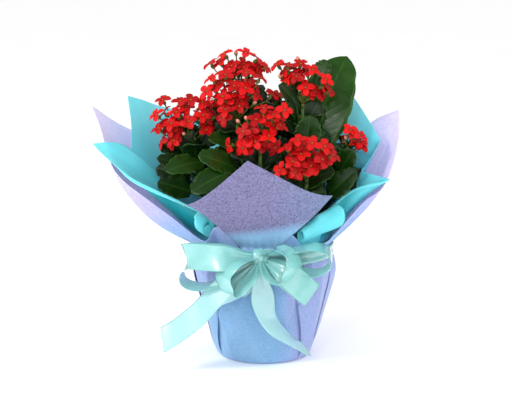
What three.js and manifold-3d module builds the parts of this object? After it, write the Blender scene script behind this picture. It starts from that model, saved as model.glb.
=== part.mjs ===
// A flowering kalanchoe in a plastic grower's pot, gift wrapped: an outer sheet folded up round the pot,
// two turquoise sheets and a small front sheet standing in its collar, and a satin ribbon tied in a bow.
// Millimetres, +Z up, seen from -Y. The origin is the middle of the wrapped pot's flat underside.
// Azimuths are in degrees, counted from +X towards +Y, so the front is at -90 and the left at 180.
import * as THREE from "three";
import { mergeVertices } from "three/addons/utils/BufferGeometryUtils.js";
import Module from "manifold-3d";

const wasm = await Module();
wasm.setup();

// Driving dimensions
const BASE = 7; // heights in this file are counted from this far below the wrapped base
const GAP = 0.35; // clearance between pieces that touch
const SHEET = 0.8; // thickness of the wrapping sheets
const RIBBON = 0.8; // thickness of the ribbon
const RIBBON_WIDTH = 25;
const POT_BASE_RADIUS = 45;
const POT_TOP_RADIUS = 61;
const POT_HEIGHT = 101;
const POT_WALL = 1.4;
const RIM_HEIGHT = 9;
const RIM_PROUD = 1.8;
const SOIL_TOP = 97;
const STEM_FOOT = 72; // how high in the soil a stem begins
const STEM_RADIUS = 3.6;
const NECK_HEIGHT = 124; // where the collar begins, just above the ribbon
const NECK_RADIUS = 68.6; // outside of the outer sheet under the ribbon
const BAND_BOTTOM = 110.5;
const BAND_TOP = 123;
const BAND_RADIUS = NECK_RADIUS + GAP + RIBBON / 2;
const PETIOLE_RADIUS = 1.7;
const FLORET_RADIUS = 8.4;
const FLORET_DEPTH = 2.8; // from the petals down to the top of the stalk
const SCALLOP = 1.6; // depth of the notches in a leaf's edge
const LEAF_RIB = 2.2; // thickness of a leaf at its midrib
const LEAF_CUP = 0.16; // how far a leaf's edges rise, as a share of its half width
const PEDICEL_RADIUS = 0.8;

const potFloor = BASE + SHEET + GAP;
const potRadiusAt = (z) => POT_BASE_RADIUS + ((POT_TOP_RADIUS - POT_BASE_RADIUS) * z) / POT_HEIGHT;

const LEAF_GREEN = 0x2a5a1c;
const RED = 0xe21a1a;
const BLUE = 0x6ea3ce;
const LILAC = 0x9f96cc;
const TURQUOISE = 0x5ac6d6;
const MINT = 0x8adbc9;

const plant = new THREE.Group();

// Helpers for numbers and directions
function randomFrom(seed) {
  let state = seed >>> 0;
  return () => {
    state = (state + 0x6d2b79f5) >>> 0;
    let t = Math.imul(state ^ (state >>> 15), 1 | state);
    t = (t + Math.imul(t ^ (t >>> 7), 61 | t)) ^ t;
    return ((t ^ (t >>> 14)) >>> 0) / 4294967296;
  };
}

const radians = THREE.MathUtils.degToRad;
const lerp = THREE.MathUtils.lerp;
const clamp = THREE.MathUtils.clamp;
const vec = (x, y, z) => new THREE.Vector3(x, y, z);
const UPWARDS = vec(0, 0, 1);
const polar = (azimuth, radius, z) =>
  vec(radius * Math.cos(radians(azimuth)), radius * Math.sin(radians(azimuth)), z);

// A smooth curve through keys, read at an azimuth. Each key is [azimuth, value, value, ...], and the keys come
// in runs that meet in a corner.
function between(runs, azimuth) {
  const keys = runs.find((run) => azimuth <= run.at(-1)[0]) || runs.at(-1);
  let i = 0;
  while (i < keys.length - 2 && azimuth > keys[i + 1][0]) i += 1;
  const low = keys[i];
  const high = keys[i + 1];
  const before = keys[Math.max(i - 1, 0)];
  const after = keys[Math.min(i + 2, keys.length - 1)];
  const span = high[0] - low[0];
  const t = clamp((azimuth - low[0]) / span, 0, 1);
  const square = t * t;
  const cube = square * t;
  return low.slice(1).map((value, k) => {
    const next = high[k + 1];
    const leaving = ((next - before[k + 1]) / (high[0] - before[0])) * span;
    const arriving = ((after[k + 1] - value) / (after[0] - low[0])) * span;
    return (
      (2 * cube - 3 * square + 1) * value +
      (cube - 2 * square + t) * leaving +
      (3 * square - 2 * cube) * next +
      (cube - square) * arriving
    );
  });
}

// The azimuths of all keys, and more where two keys lie further apart than the widest step
function azimuthsOf(runs, widest) {
  const stops = [...new Set(runs.flat().map(([azimuth]) => azimuth))];
  const places = stops.slice(1).flatMap((next, i) => {
    const parts = Math.ceil((next - stops[i]) / widest);
    return Array.from({ length: parts }, (_, k) => lerp(stops[i], next, k / parts));
  });
  return [...places, stops.at(-1)];
}

// Helpers for solids
function geometryOf(points, faces) {
  const geometry = new THREE.BufferGeometry();
  const position = new Float32Array(points.length * 3);
  points.forEach((p, i) => p.toArray(position, i * 3));
  geometry.setAttribute("position", new THREE.BufferAttribute(position, 3));
  geometry.setIndex(faces.flat());
  return geometry;
}

function solidOf(geometry) {
  const bare = new THREE.BufferGeometry();
  bare.setAttribute("position", geometry.getAttribute("position"));
  if (geometry.index) bare.setIndex(geometry.index);
  const merged = mergeVertices(bare, 1e-4);
  return new wasm.Manifold(
    new wasm.Mesh({
      numProp: 3,
      vertProperties: new Float32Array(merged.attributes.position.array),
      triVerts: new Uint32Array(merged.index.array),
    }),
  );
}

function geometryFrom(solid) {
  const mesh = solid.getMesh();
  const geometry = new THREE.BufferGeometry();
  geometry.setAttribute("position", new THREE.BufferAttribute(new Float32Array(mesh.vertProperties), 3));
  geometry.setIndex(new THREE.BufferAttribute(new Uint32Array(mesh.triVerts), 1));
  return geometry;
}

// One body out of overlapping pieces: loose scraps go, sealed hollows are filled by keeping the outer skin.
function fused(geometries) {
  const joined = wasm.Manifold.union(geometries.map(solidOf)).simplify(0.03);
  const bodies = joined.decompose().filter((body) => body.volume() > 0);
  bodies.sort((a, b) => b.volume() - a.volume());
  return geometryFrom(bodies[0]);
}

function without(geometry, tools) {
  return geometryFrom(solidOf(geometry).subtract(wasm.Manifold.union(tools.map(solidOf))));
}

function add(name, geometry, colour, roughness) {
  geometry.computeVertexNormals();
  const material = new THREE.MeshStandardMaterial({ color: colour, roughness, metalness: 0 });
  const mesh = new THREE.Mesh(geometry, material);
  mesh.name = name;
  plant.add(mesh);
}

// Unit normals of a grid of points, columns first. A ring's last column meets its first.
function gridNormals(grid, ring) {
  const columns = grid.length;
  return grid.map((column, i) =>
    column.map((_, j) => {
      const before = ring ? (i + columns - 1) % columns : Math.max(i - 1, 0);
      const after = ring ? (i + 1) % columns : Math.min(i + 1, columns - 1);
      const along = grid[after][j].clone().sub(grid[before][j]);
      const up = grid[i][Math.min(j + 1, column.length - 1)].clone().sub(grid[i][Math.max(j - 1, 0)]);
      return along.cross(up).normalize();
    }),
  );
}

// A thin closed plate round a grid of points, both faces split alike. A ring may have a floor in its middle.
function plate(grid, thickness, { ring = false, floor = false } = {}) {
  const columns = grid.length;
  const rows = grid[0].length;
  const normals = gridNormals(grid, ring);
  const points = [];
  const faces = [];
  for (const side of [0.5, -0.5])
    for (let i = 0; i < columns; i += 1)
      for (let j = 0; j < rows; j += 1) {
        const depth = typeof thickness === "function" ? thickness(i, j) : thickness;
        points.push(grid[i][j].clone().addScaledVector(normals[i][j], side * depth));
      }
  const front = (i, j) => (i % columns) * rows + j;
  const back = (i, j) => columns * rows + front(i, j);
  const spans = ring ? columns : columns - 1;
  for (let i = 0; i < spans; i += 1)
    for (let j = 0; j < rows - 1; j += 1) {
      faces.push([front(i, j), front(i + 1, j), front(i + 1, j + 1)]);
      faces.push([front(i, j), front(i + 1, j + 1), front(i, j + 1)]);
      faces.push([back(i, j), back(i + 1, j + 1), back(i + 1, j)]);
      faces.push([back(i, j), back(i, j + 1), back(i + 1, j + 1)]);
    }
  const wall = (a, b, c, d) => faces.push([a, b, c], [a, c, d]);
  for (let i = 0; i < spans; i += 1) {
    wall(front(i + 1, rows - 1), back(i + 1, rows - 1), back(i, rows - 1), front(i, rows - 1));
    if (!floor) wall(front(i, 0), back(i, 0), back(i + 1, 0), front(i + 1, 0));
  }
  if (!ring)
    for (let j = 0; j < rows - 1; j += 1) {
      wall(front(0, j + 1), back(0, j + 1), back(0, j), front(0, j));
      wall(front(columns - 1, j), back(columns - 1, j), back(columns - 1, j + 1), front(columns - 1, j + 1));
    }
  if (floor) {
    const depth = typeof thickness === "function" ? thickness(0, 0) : thickness;
    const middle = grid.reduce((sum, column) => sum.add(column[0]), vec(0, 0, 0)).divideScalar(columns);
    points.push(middle.clone().add(vec(0, 0, -depth / 2)), middle.clone().add(vec(0, 0, depth / 2)));
    for (let i = 0; i < columns; i += 1) {
      faces.push([points.length - 2, front(i + 1, 0), front(i, 0)]);
      faces.push([points.length - 1, back(i, 0), back(i + 1, 0)]);
    }
  }
  return geometryOf(points, faces);
}

// A closed tube through a list of points, with a radius at each.
function tube(path, radii, sides) {
  const points = [];
  const faces = [];
  const tangents = path.map((_, i) =>
    path[Math.min(i + 1, path.length - 1)].clone().sub(path[Math.max(i - 1, 0)]).normalize(),
  );
  let across = vec(1, 0, 0);
  if (Math.abs(tangents[0].x) > 0.9) across = vec(0, 1, 0);
  path.forEach((p, i) => {
    across = across.addScaledVector(tangents[i], -across.dot(tangents[i])).normalize();
    const other = tangents[i].clone().cross(across);
    for (let k = 0; k < sides; k += 1) {
      const angle = (2 * Math.PI * k) / sides;
      points.push(
        p.clone()
          .addScaledVector(across, radii[i] * Math.cos(angle))
          .addScaledVector(other, radii[i] * Math.sin(angle)),
      );
    }
  });
  const at = (i, k) => i * sides + (k % sides);
  for (let i = 0; i < path.length - 1; i += 1)
    for (let k = 0; k < sides; k += 1) {
      faces.push([at(i, k), at(i, k + 1), at(i + 1, k + 1)]);
      faces.push([at(i, k), at(i + 1, k + 1), at(i + 1, k)]);
    }
  const last = path.length - 1;
  for (let k = 1; k < sides - 1; k += 1) {
    faces.push([at(0, 0), at(0, k + 1), at(0, k)]);
    faces.push([at(last, 0), at(last, k), at(last, k + 1)]);
  }
  return geometryOf(points, faces);
}

// The grower's pot, with drain holes in its floor
function growersPot() {
  const top = potFloor + POT_HEIGHT;
  const rimRadius = POT_TOP_RADIUS + RIM_PROUD;
  const under = top - RIM_HEIGHT;
  const radiusUnder = potRadiusAt(POT_HEIGHT - RIM_HEIGHT);
  const profile = [
    [0, potFloor],
    [POT_BASE_RADIUS - 1.5, potFloor],
    [POT_BASE_RADIUS, potFloor + 1.5],
    [radiusUnder, under],
    [rimRadius, under],
    [rimRadius, top],
    [POT_TOP_RADIUS - POT_WALL, top],
    [POT_BASE_RADIUS - POT_WALL, potFloor + POT_WALL],
    [0, potFloor + POT_WALL],
  ].map(([radius, z]) => new THREE.Vector2(radius, z));
  const pot = new THREE.LatheGeometry(profile, 24).rotateX(Math.PI / 2);
  const holes = [0, 72, 144, 216, 288].map((azimuth) => {
    const hole = new THREE.CylinderGeometry(4, 4, 6, 6).rotateX(Math.PI / 2);
    const { x, y } = polar(azimuth, 27, 0);
    return hole.translate(x, y, potFloor);
  });
  return without(pot, holes);
}

// The soil, uneven on top, with a plain hole for each stem
function soil(stemFeet) {
  const random = randomFrom(11);
  const sides = 20;
  const inside = (z) => potRadiusAt(z - potFloor) - POT_WALL - GAP - 0.4;
  const bottom = potFloor + POT_WALL + GAP;
  const rings = [
    [inside(bottom), bottom],
    [inside(SOIL_TOP - 3), SOIL_TOP - 3],
    [48, SOIL_TOP],
    [30, SOIL_TOP + 2],
    [14, SOIL_TOP + 1],
  ];
  const points = rings.flatMap(([radius, z], ringIndex) =>
    Array.from({ length: sides }, (_, k) => {
      const bump = ringIndex > 1 ? 3 * (random() - 0.5) : 0;
      return polar((360 * k) / sides, radius, z + bump);
    }),
  );
  points.push(vec(0, 0, bottom), vec(0, 0, SOIL_TOP + 2));
  const faces = [];
  const at = (ringIndex, k) => ringIndex * sides + (k % sides);
  for (let k = 0; k < sides; k += 1) {
    for (let ringIndex = 0; ringIndex < rings.length - 1; ringIndex += 1) {
      faces.push([at(ringIndex, k), at(ringIndex, k + 1), at(ringIndex + 1, k + 1)]);
      faces.push([at(ringIndex, k), at(ringIndex + 1, k + 1), at(ringIndex + 1, k)]);
    }
    faces.push([points.length - 2, at(0, k + 1), at(0, k)]);
    faces.push([points.length - 1, at(rings.length - 1, k), at(rings.length - 1, k + 1)]);
  }
  const depth = SOIL_TOP + 12 - STEM_FOOT + GAP;
  const holes = stemFeet.map(([x, y]) => {
    const hole = new THREE.CylinderGeometry(STEM_RADIUS + 1, STEM_RADIUS + 1, depth, 6);
    return hole.rotateX(Math.PI / 2).translate(x, y, STEM_FOOT - GAP + depth / 2);
  });
  return without(geometryOf(points, faces), holes);
}

// The section of a sheet that rises out of the neck to a place, pulled towards a handle at shares of the way
// out and up
function rising(neck, radius, height, out, up) {
  const handle = new THREE.Vector2(lerp(neck.x, radius, out), lerp(neck.y, height, up));
  return new THREE.QuadraticBezierCurve(neck, handle, new THREE.Vector2(radius, height));
}

// The outer sheet's rim: azimuth, radius, height, and the shares at which the section below it is pulled
const OUTER_RIM = [
  [
    [-180, 169, 258, 0.8, 0.34],
    [-176, 161, 237, 0.77, 0.335],
    [-170, 156, 218, 0.75, 0.325],
    [-163, 152, 203.5, 0.75, 0.31],
    [-158, 143.5, 191, 0.76, 0.29],
    [-152, 126.5, 175, 0.76, 0.27],
    [-146, 109.5, 159.5, 0.76, 0.26],
    [-140, 97, 146.5, 0.75, 0.25],
    [-134, 88.5, 137.5, 0.72, 0.29],
    [-129, 86.3, 136.5, 0.7, 0.3],
    [-126, 82, 148, 0.6, 0.35],
    [-120, 78, 148, 0.55, 0.4],
    [-115, 74.5, 140, 0.5, 0.4],
    [-112, 71, 132, 0.5, 0.5],
    [-107, 68.4, 126.5, 0.5, 0.5],
    [-80, 68.4, 126.5, 0.5, 0.5],
    [-74, 70, 130, 0.6, 0.4],
    [-64, 74, 131, 0.7, 0.4],
    [-50, 74, 128.5, 0.6, 0.4],
    [-40, 76.5, 131, 0.6, 0.4],
    [-36, 80, 135, 0.57, 0.42],
    [-33, 85, 141.5, 0.55, 0.42],
    [-28, 95, 156, 0.55, 0.44],
    [-24, 107, 171, 0.55, 0.44],
    [-20, 121, 182, 0.56, 0.43],
    [-12, 129, 206, 0.57, 0.43],
    [-4, 132, 222, 0.61, 0.41],
    [2, 135, 232, 0.66, 0.38],
    [10, 138, 252, 0.72, 0.4],
  ],
  [
    [10, 138, 252, 0.72, 0.4],
    [20, 117, 237, 0.7, 0.4],
    [30, 118, 215, 0.7, 0.4],
    [50, 125, 195, 0.6, 0.4],
    [70, 150, 230, 0.6, 0.45],
    [90, 160, 255, 0.6, 0.45],
    [110, 142, 232, 0.6, 0.45],
    [130, 130, 200, 0.6, 0.4],
    [160, 150, 230, 0.7, 0.4],
    [170, 159, 243, 0.74, 0.38],
    [180, 169, 258, 0.8, 0.34],
  ],
];
const OUTER_STEP = 15; // widest step between two columns of the outer sheet, in degrees

function outerSheet() {
  const half = SHEET / 2;
  const neck = new THREE.Vector2(NECK_RADIUS - half, NECK_HEIGHT);
  // Radius and height of the folded-up part, from the flat floor to the neck.
  const body = [
    [POT_BASE_RADIUS - 1, BASE + half],
    [POT_BASE_RADIUS + 2, BASE + 3],
    [neck.x + 0.8, 92],
    [neck.x, BAND_BOTTOM - 1],
  ];
  const grid = azimuthsOf(OUTER_RIM, OUTER_STEP)
    .slice(0, -1)
    .map((azimuth) => {
      const flare = rising(neck, ...between(OUTER_RIM, azimuth)).getPoints(3);
      return [...body, ...flare.map(({ x, y }) => [x, y])].map(([radius, z]) => polar(azimuth, radius, z));
    });
  return plate(grid, SHEET, { ring: true, floor: true });
}

// A turquoise sheet: azimuth, the radius and height of its crest, the shares at which the section below it is
// pulled, and the radius and sweep of the roll that turns outwards beyond it
const LEAST_SWEEP = 8;
const LEFT_CRESTS = [
  [
    [100, 104, 205, 0.42, 0.3, 8, 0],
    [118, 114, 226, 0.42, 0.3, 8, 0],
    [135, 122, 242, 0.42, 0.3, 8, 0],
    [150, 128, 251.5, 0.42, 0.3, 8, 0],
    [160, 132, 258.5, 0.42, 0.3, 8, 0],
    [168, 140, 264, 0.42, 0.3, 8, 0],
  ],
  [
    [168, 140, 264, 0.42, 0.3, 8, 0],
    [174, 133, 236, 0.42, 0.3, 8, 0],
    [180, 131, 214, 0.42, 0.34, 8, 0],
  ],
  [
    [180, 131, 214, 0.42, 0.34, 8, 0],
    [184, 139, 221, 0.45, 0.75, 8, 0],
    [188, 151, 224, 0.42, 0.72, 8, 0],
    [192, 168, 224.5, 0.42, 0.7, 8, 0],
  ],
  [
    [192, 168, 224.5, 0.42, 0.7, 6, 0],
    [196, 162, 217, 0.42, 0.6, 6, 0],
    [200, 154, 209, 0.42, 0.5, 4, 10],
    [205, 139, 195, 0.42, 0.42, 4, 75],
    [211.5, 119.5, 182.5, 0.42, 0.34, 6.5, 80],
    [219, 100, 170.5, 0.42, 0.34, 7, 75],
    [226.4, 84.5, 160, 0.42, 0.34, 7.5, 70],
  ],
  [
    [226.4, 84.5, 160, 0.42, 0.34, 7.5, 70],
    [227.6, 82, 157.5, 0.42, 0.32, 8.5, 300],
    [230.6, 74.4, 149, 0.42, 0.3, 8, 305],
  ],
];
const RIGHT_CRESTS = [
  [
    [-61, 65.5, 138, 0.4, 0.4, 6, 305],
    [-50, 69, 150, 0.42, 0.3, 9.2, 305],
    [-38.8, 78.5, 160.5, 0.42, 0.3, 10.5, 300],
    [-37.6, 79.5, 162.5, 0.42, 0.32, 9, 60],
  ],
  [
    [-37.6, 79.5, 162.5, 0.42, 0.32, 9, 60],
    [-33, 86.5, 171, 0.42, 0.34, 8, 65],
    [-28, 95, 178.5, 0.42, 0.38, 8, 75],
    [-24, 107, 184, 0.42, 0.45, 7, 85],
    [-21, 119, 188, 0.42, 0.57, 4.5, 70],
    [-19, 128, 191, 0.42, 0.62, 4, 0],
  ],
  [
    [-19, 128, 191, 0.42, 0.62, 4, 0],
    [-15, 112, 192, 0.45, 0.52, 8, 0],
    [-9, 96, 194, 0.42, 0.38, 8, 0],
  ],
  [
    [-9, 96, 194, 0.42, 0.38, 8, 0],
    [-3, 106, 207, 0.42, 0.36, 8, 0],
    [4, 116, 222, 0.42, 0.34, 8, 0],
  ],
  [
    [4, 116, 222, 0.42, 0.34, 8, 0],
    [12, 109, 238, 0.42, 0.3, 8, 0],
    [25, 98, 265, 0.42, 0.3, 8, 0],
    [40, 96, 280, 0.42, 0.3, 8, 0],
    [55, 98, 262, 0.42, 0.3, 8, 0],
    [70, 102, 236, 0.42, 0.3, 8, 0],
    [84, 104, 212, 0.42, 0.3, 8, 0],
  ],
];
const TURQUOISE_STEP = 18;
const TURQUOISE_NECK = new THREE.Vector2(66.7, NECK_HEIGHT + 3); // radius and height where a sheet flares out
const TURQUOISE_FOOT = new THREE.Vector2(64.4, 86); // its lower edge, between the pot and the outer sheet

// One column of a turquoise sheet: from beside the pot up to its crest, then round its roll
function standingColumn(azimuth, [radius, height, out, up, roll, sweep], riseSteps, rollSteps) {
  const rise = rising(TURQUOISE_NECK, radius, height, out, up);
  const crest = rise.v2;
  const heading = crest.clone().sub(rise.v1).normalize();
  const outwards = new THREE.Vector2(heading.y, -heading.x);
  const places = [TURQUOISE_FOOT, ...rise.getPoints(riseSteps)];
  const turn = radians(Math.max(sweep, LEAST_SWEEP));
  for (let k = 1; k <= rollSteps; k += 1) {
    const turned = (turn * k) / rollSteps;
    places.push(
      crest
        .clone()
        .addScaledVector(heading, roll * Math.sin(turned))
        .addScaledVector(outwards, roll * (1 - Math.cos(turned))),
    );
  }
  return places.map(({ x, y }) => polar(azimuth, x, y));
}

function turquoiseSheet(crests, riseSteps, rollSteps) {
  const grid = azimuthsOf(crests, TURQUOISE_STEP).map((azimuth) =>
    standingColumn(azimuth, between(crests, azimuth), riseSteps, rollSteps),
  );
  return plate(grid, SHEET);
}

// The front sheet is a square on its corner. It is held under the ribbon by its lowest corner, and stands
// upright there before it leans out. Its lower left and upper right edges are hollow.
const FRONT_UPRIGHT = 6;
const FRONT_BEND = 0.16; // how much less it leans with each millimetre, in degrees
const FRONT_RADIUS = NECK_RADIUS + 3 * GAP + SHEET / 2;
const FRONT_AZIMUTH = -100;
const FRONT_CORNERS = {
  foot: { across: 0, up: -14 },
  left: { across: -63, up: 73 },
  right: { across: 88, up: 60 },
  peak: { across: 6, up: 112 },
};
const LOWER_HOLLOW = 22;
const UPPER_HOLLOW = 12;
const EVEN_PEAK = 4; // makes p * (1 - p) reach 1 at its highest
const SKEW_PEAK = 27 / 4; // makes p ** 2 * (1 - p) reach 1 at its highest

function frontSheet() {
  const steps = 8;
  const { foot, left, right, peak } = FRONT_CORNERS;
  const place = (p, q) => {
    const weigh = (key) =>
      foot[key] * (1 - p) * (1 - q) + left[key] * p * (1 - q) + right[key] * q * (1 - p) + peak[key] * p * q;
    const across = weigh("across");
    const lower = LOWER_HOLLOW * SKEW_PEAK * p ** 2 * (1 - p) * (1 - q) ** 3;
    const upper = UPPER_HOLLOW * EVEN_PEAK * p * (1 - p) * q ** 2;
    const up = weigh("up") + lower - upper;
    const start = radians(lerp(35, 62, THREE.MathUtils.smoothstep(across, -50, 50)));
    const turn = radians(FRONT_BEND);
    const end = start + turn * Math.max(up - FRONT_UPRIGHT, 0);
    const out = FRONT_RADIUS + (Math.sin(end) - Math.sin(start)) / turn;
    const leaning = NECK_HEIGHT + FRONT_UPRIGHT + (Math.cos(start) - Math.cos(end)) / turn;
    const height = up < FRONT_UPRIGHT ? NECK_HEIGHT + up : leaning;
    return polar(FRONT_AZIMUTH + THREE.MathUtils.radToDeg(across / out), out, height);
  };
  const grid = Array.from({ length: steps + 1 }, (_, i) =>
    Array.from({ length: steps + 1 }, (_, j) => place(1 - i / steps, j / steps)),
  );
  return plate(grid, SHEET);
}

// The ribbon: a band round the neck, a knot in front of it, and the loops and tails that leave the knot.
const KNOT = vec(-4.5, -78.8, 122);
const KNOT_SIZE = vec(9, 7, 9.5); // half its width, depth and height
const PINCHED = 3.6; // half the ribbon's width where it leaves the knot
const KNOT_FILL = 0.55; // how far out in the knot a loop is rooted, as a share
const TAIL_OPENING = 0.5; // share of a tail's length over which it opens
const BAND_BULGE = 34; // how far the band lies over the front sheet on each side of its foot, in degrees
const BAND_BULGE_RISE = 14;

function ribbonBand() {
  const columns = 36;
  const grid = Array.from({ length: columns }, (_, i) => {
    const azimuth = (360 * i) / columns;
    const fromFoot = Math.abs(((azimuth - FRONT_AZIMUTH + 180) % 360) - 180);
    const over = (SHEET + 3 * GAP) * THREE.MathUtils.smoothstep(BAND_BULGE - fromFoot, 0, BAND_BULGE_RISE);
    return [BAND_BOTTOM, BAND_TOP].map((z) => polar(azimuth, BAND_RADIUS + over, z));
  });
  return plate(grid, RIBBON, { ring: true });
}

function knot() {
  const ball = new THREE.SphereGeometry(1, 8, 5);
  return ball.scale(KNOT_SIZE.x, KNOT_SIZE.y, KNOT_SIZE.z).translate(KNOT.x, KNOT.y, KNOT.z);
}

// A place inside the knot, in a direction from its middle, where a loop or tail is rooted
function insideKnot([x, y, z]) {
  const direction = vec(x, y, z);
  const stretched = direction.clone().divide(KNOT_SIZE).length();
  return KNOT.clone().addScaledVector(direction, KNOT_FILL / stretched);
}

// Each loop leaves the knot in one direction, passes its points and comes back in another. Its width lies
// along `across`, and a tail ends at its last point, cut on the slant.
const LOOPS = [
  {
    across: [-0.5, 0, 0.87],
    leaves: [-1, -0.55, 0.3],
    points: [[-38, -93, 124.5], [-60, -92, 125.5], [-74, -87, 125.5], [-60, -82, 124.5], [-38, -81, 123.5]],
    returns: [-1, 0.25, 0.3],
  },
  {
    across: [0.15, 1, 0.1],
    leaves: [-1, 0.1, -0.45],
    points: [
      [-40, -74, 113], [-63, -71, 115.5], [-78, -70, 108], [-77.5, -70, 98],
      [-64, -71, 92], [-44, -76, 96],
    ],
    returns: [-0.75, 0.1, -0.9],
  },
  {
    across: [0.6, -0.8, 0],
    leaves: [-0.75, -1, -0.1],
    points: [[-29, -96, 120], [-39, -98, 108], [-31, -98, 93], [-20, -96, 100]],
    returns: [-0.2, -1, -0.6],
  },
  {
    across: [0.6, 0.75, -0.2],
    leaves: [0.35, -1, 0.7],
    points: [[9, -98, 134], [22, -95, 128.5], [27.5, -93, 115], [18, -94, 102], [4, -93, 108]],
    returns: [0.25, -1, -0.25],
  },
  {
    across: [0.1, 0.97, 0.1],
    leaves: [1, 0, 0.6],
    points: [
      [30, -80, 130], [48, -80, 133], [61, -77, 126.5], [63.5, -75, 116],
      [54, -76, 107.5], [36, -77, 109],
    ],
    returns: [1, 0, -0.05],
  },
  {
    across: [0.55, 0, 0.85],
    leaves: [1, -0.6, -0.5],
    points: [[21, -90, 109], [38.5, -90, 93.5], [45, -87, 87.5], [37, -84, 93.5], [18, -82, 107]],
    returns: [0.9, -0.05, -0.75],
  },
];
const TAILS = [
  {
    across: [-0.5, 0.6, 0.5],
    leaves: [-0.8, -0.35, -0.95],
    points: [[-32.5, -86, 101.5], [-47.5, -85, 85.5], [-62.5, -83, 68.5], [-79, -79, 53.5], [-98, -74, 40]],
    slant: -3,
  },
  {
    across: [0.9, 0, -0.4],
    twisted: [0.55, 0.8, -0.25],
    leaves: [-0.35, 0.05, -1],
    points: [[-15, -80, 101.5], [-22, -80, 90.5], [-30, -79, 80]],
    slant: -8,
  },
  {
    across: [1, 0, 0.1],
    twisted: [-0.45, 1, -0.15],
    leaves: [0.15, -0.3, -1],
    points: [
      [-5, -82, 106], [-2.8, -79, 91.5], [-0.5, -76, 77], [4.3, -73, 62],
      [11, -71, 51], [21, -69, 41.5], [32.5, -67, 33.5], [41.5, -66, 28],
    ],
    slant: -4,
  },
];

function ribbonStrip({ across, twisted, leaves, points, returns, slant }, steps) {
  const stops = [insideKnot(leaves), ...points.map(([x, y, z]) => vec(x, y, z))];
  if (returns) stops.push(insideKnot(returns));
  const path = new THREE.CatmullRomCurve3(stops, false, "centripetal");
  const grid = [];
  for (let i = 0; i <= steps; i += 1) {
    const place = path.getPointAt(i / steps);
    const tangent = path.getTangentAt(i / steps);
    const width = vec(...across).lerp(vec(...(twisted || across)), i / steps);
    width.addScaledVector(tangent, -width.dot(tangent)).normalize();
    const fromKnot = returns ? Math.sin((Math.PI * i) / steps) : i / steps / TAIL_OPENING;
    const half = lerp(PINCHED, RIBBON_WIDTH / 2, THREE.MathUtils.smoothstep(fromKnot, 0, 0.75));
    const cut = slant && i === steps ? slant : 0;
    grid.push([
      place.clone().addScaledVector(width, -half).addScaledVector(tangent, -cut),
      place.clone().addScaledVector(width, half).addScaledVector(tangent, cut),
    ]);
  }
  return plate(grid, RIBBON);
}

function bow() {
  const loops = LOOPS.map((loop) => ribbonStrip(loop, 8));
  const tails = TAILS.map((tail) => ribbonStrip(tail, 5));
  return fused([knot(), ...loops, ...tails]);
}

// A closed skin over rings of points that all have the same count, in order along the piece. The rings turn
// to the left as seen from behind.
function loft(rings) {
  const count = rings[0].length;
  const at = (i, k) => i * count + (k % count);
  const faces = [];
  for (let i = 0; i < rings.length - 1; i += 1)
    for (let k = 0; k < count; k += 1) {
      faces.push([at(i, k), at(i, k + 1), at(i + 1, k + 1)]);
      faces.push([at(i, k), at(i + 1, k + 1), at(i + 1, k)]);
    }
  const last = rings.length - 1;
  for (let k = 1; k < count - 1; k += 1) {
    faces.push([at(0, 0), at(0, k + 1), at(0, k)]);
    faces.push([at(last, 0), at(last, k), at(last, k + 1)]);
  }
  return geometryOf(rings.flat(), faces);
}

// A fleshy leaf with a scalloped edge, thick at its midrib, on a stalk that begins inside the stem. The blade
// arches along its length, and its edges rise from the midrib.
function leaf({ from, foot, tip, width, face = UPWARDS, arch = 0.1, scallops = 4, grown = 0 }) {
  const axis = tip.clone().sub(foot);
  const long = axis.length();
  axis.normalize();
  const up = face.clone().addScaledVector(axis, -face.dot(axis)).normalize();
  const side = axis.clone().cross(up);
  const stations = 2 * scallops;
  const section = (middle, half, rib, raised) => [
    middle.clone().addScaledVector(side, -half).addScaledVector(up, raised),
    middle.clone().addScaledVector(up, rib),
    middle.clone().addScaledVector(side, half).addScaledVector(up, raised),
    middle.clone().addScaledVector(up, -rib),
  ];
  const rings = grown ? [] : [section(from, PETIOLE_RADIUS, PETIOLE_RADIUS, 0)];
  for (let i = 0; i <= stations; i += 1) {
    const t = i / stations;
    const oval = Math.sin(Math.PI * (0.08 + 0.84 * t ** 0.85)) ** 0.75;
    const scallop = (i % 2 ? SCALLOP : -SCALLOP) / 2;
    const half = Math.max((width / 2) * oval + scallop, 1.4) + grown;
    const rib = LEAF_RIB / 2 + grown;
    const middle = foot
      .clone()
      .addScaledVector(axis, long * t)
      .addScaledVector(up, arch * long * 4 * t * (1 - t));
    rings.push(section(middle, half, i ? rib : PETIOLE_RADIUS * 0.8, i ? LEAF_CUP * half : 0));
  }
  return loft(rings);
}

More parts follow.
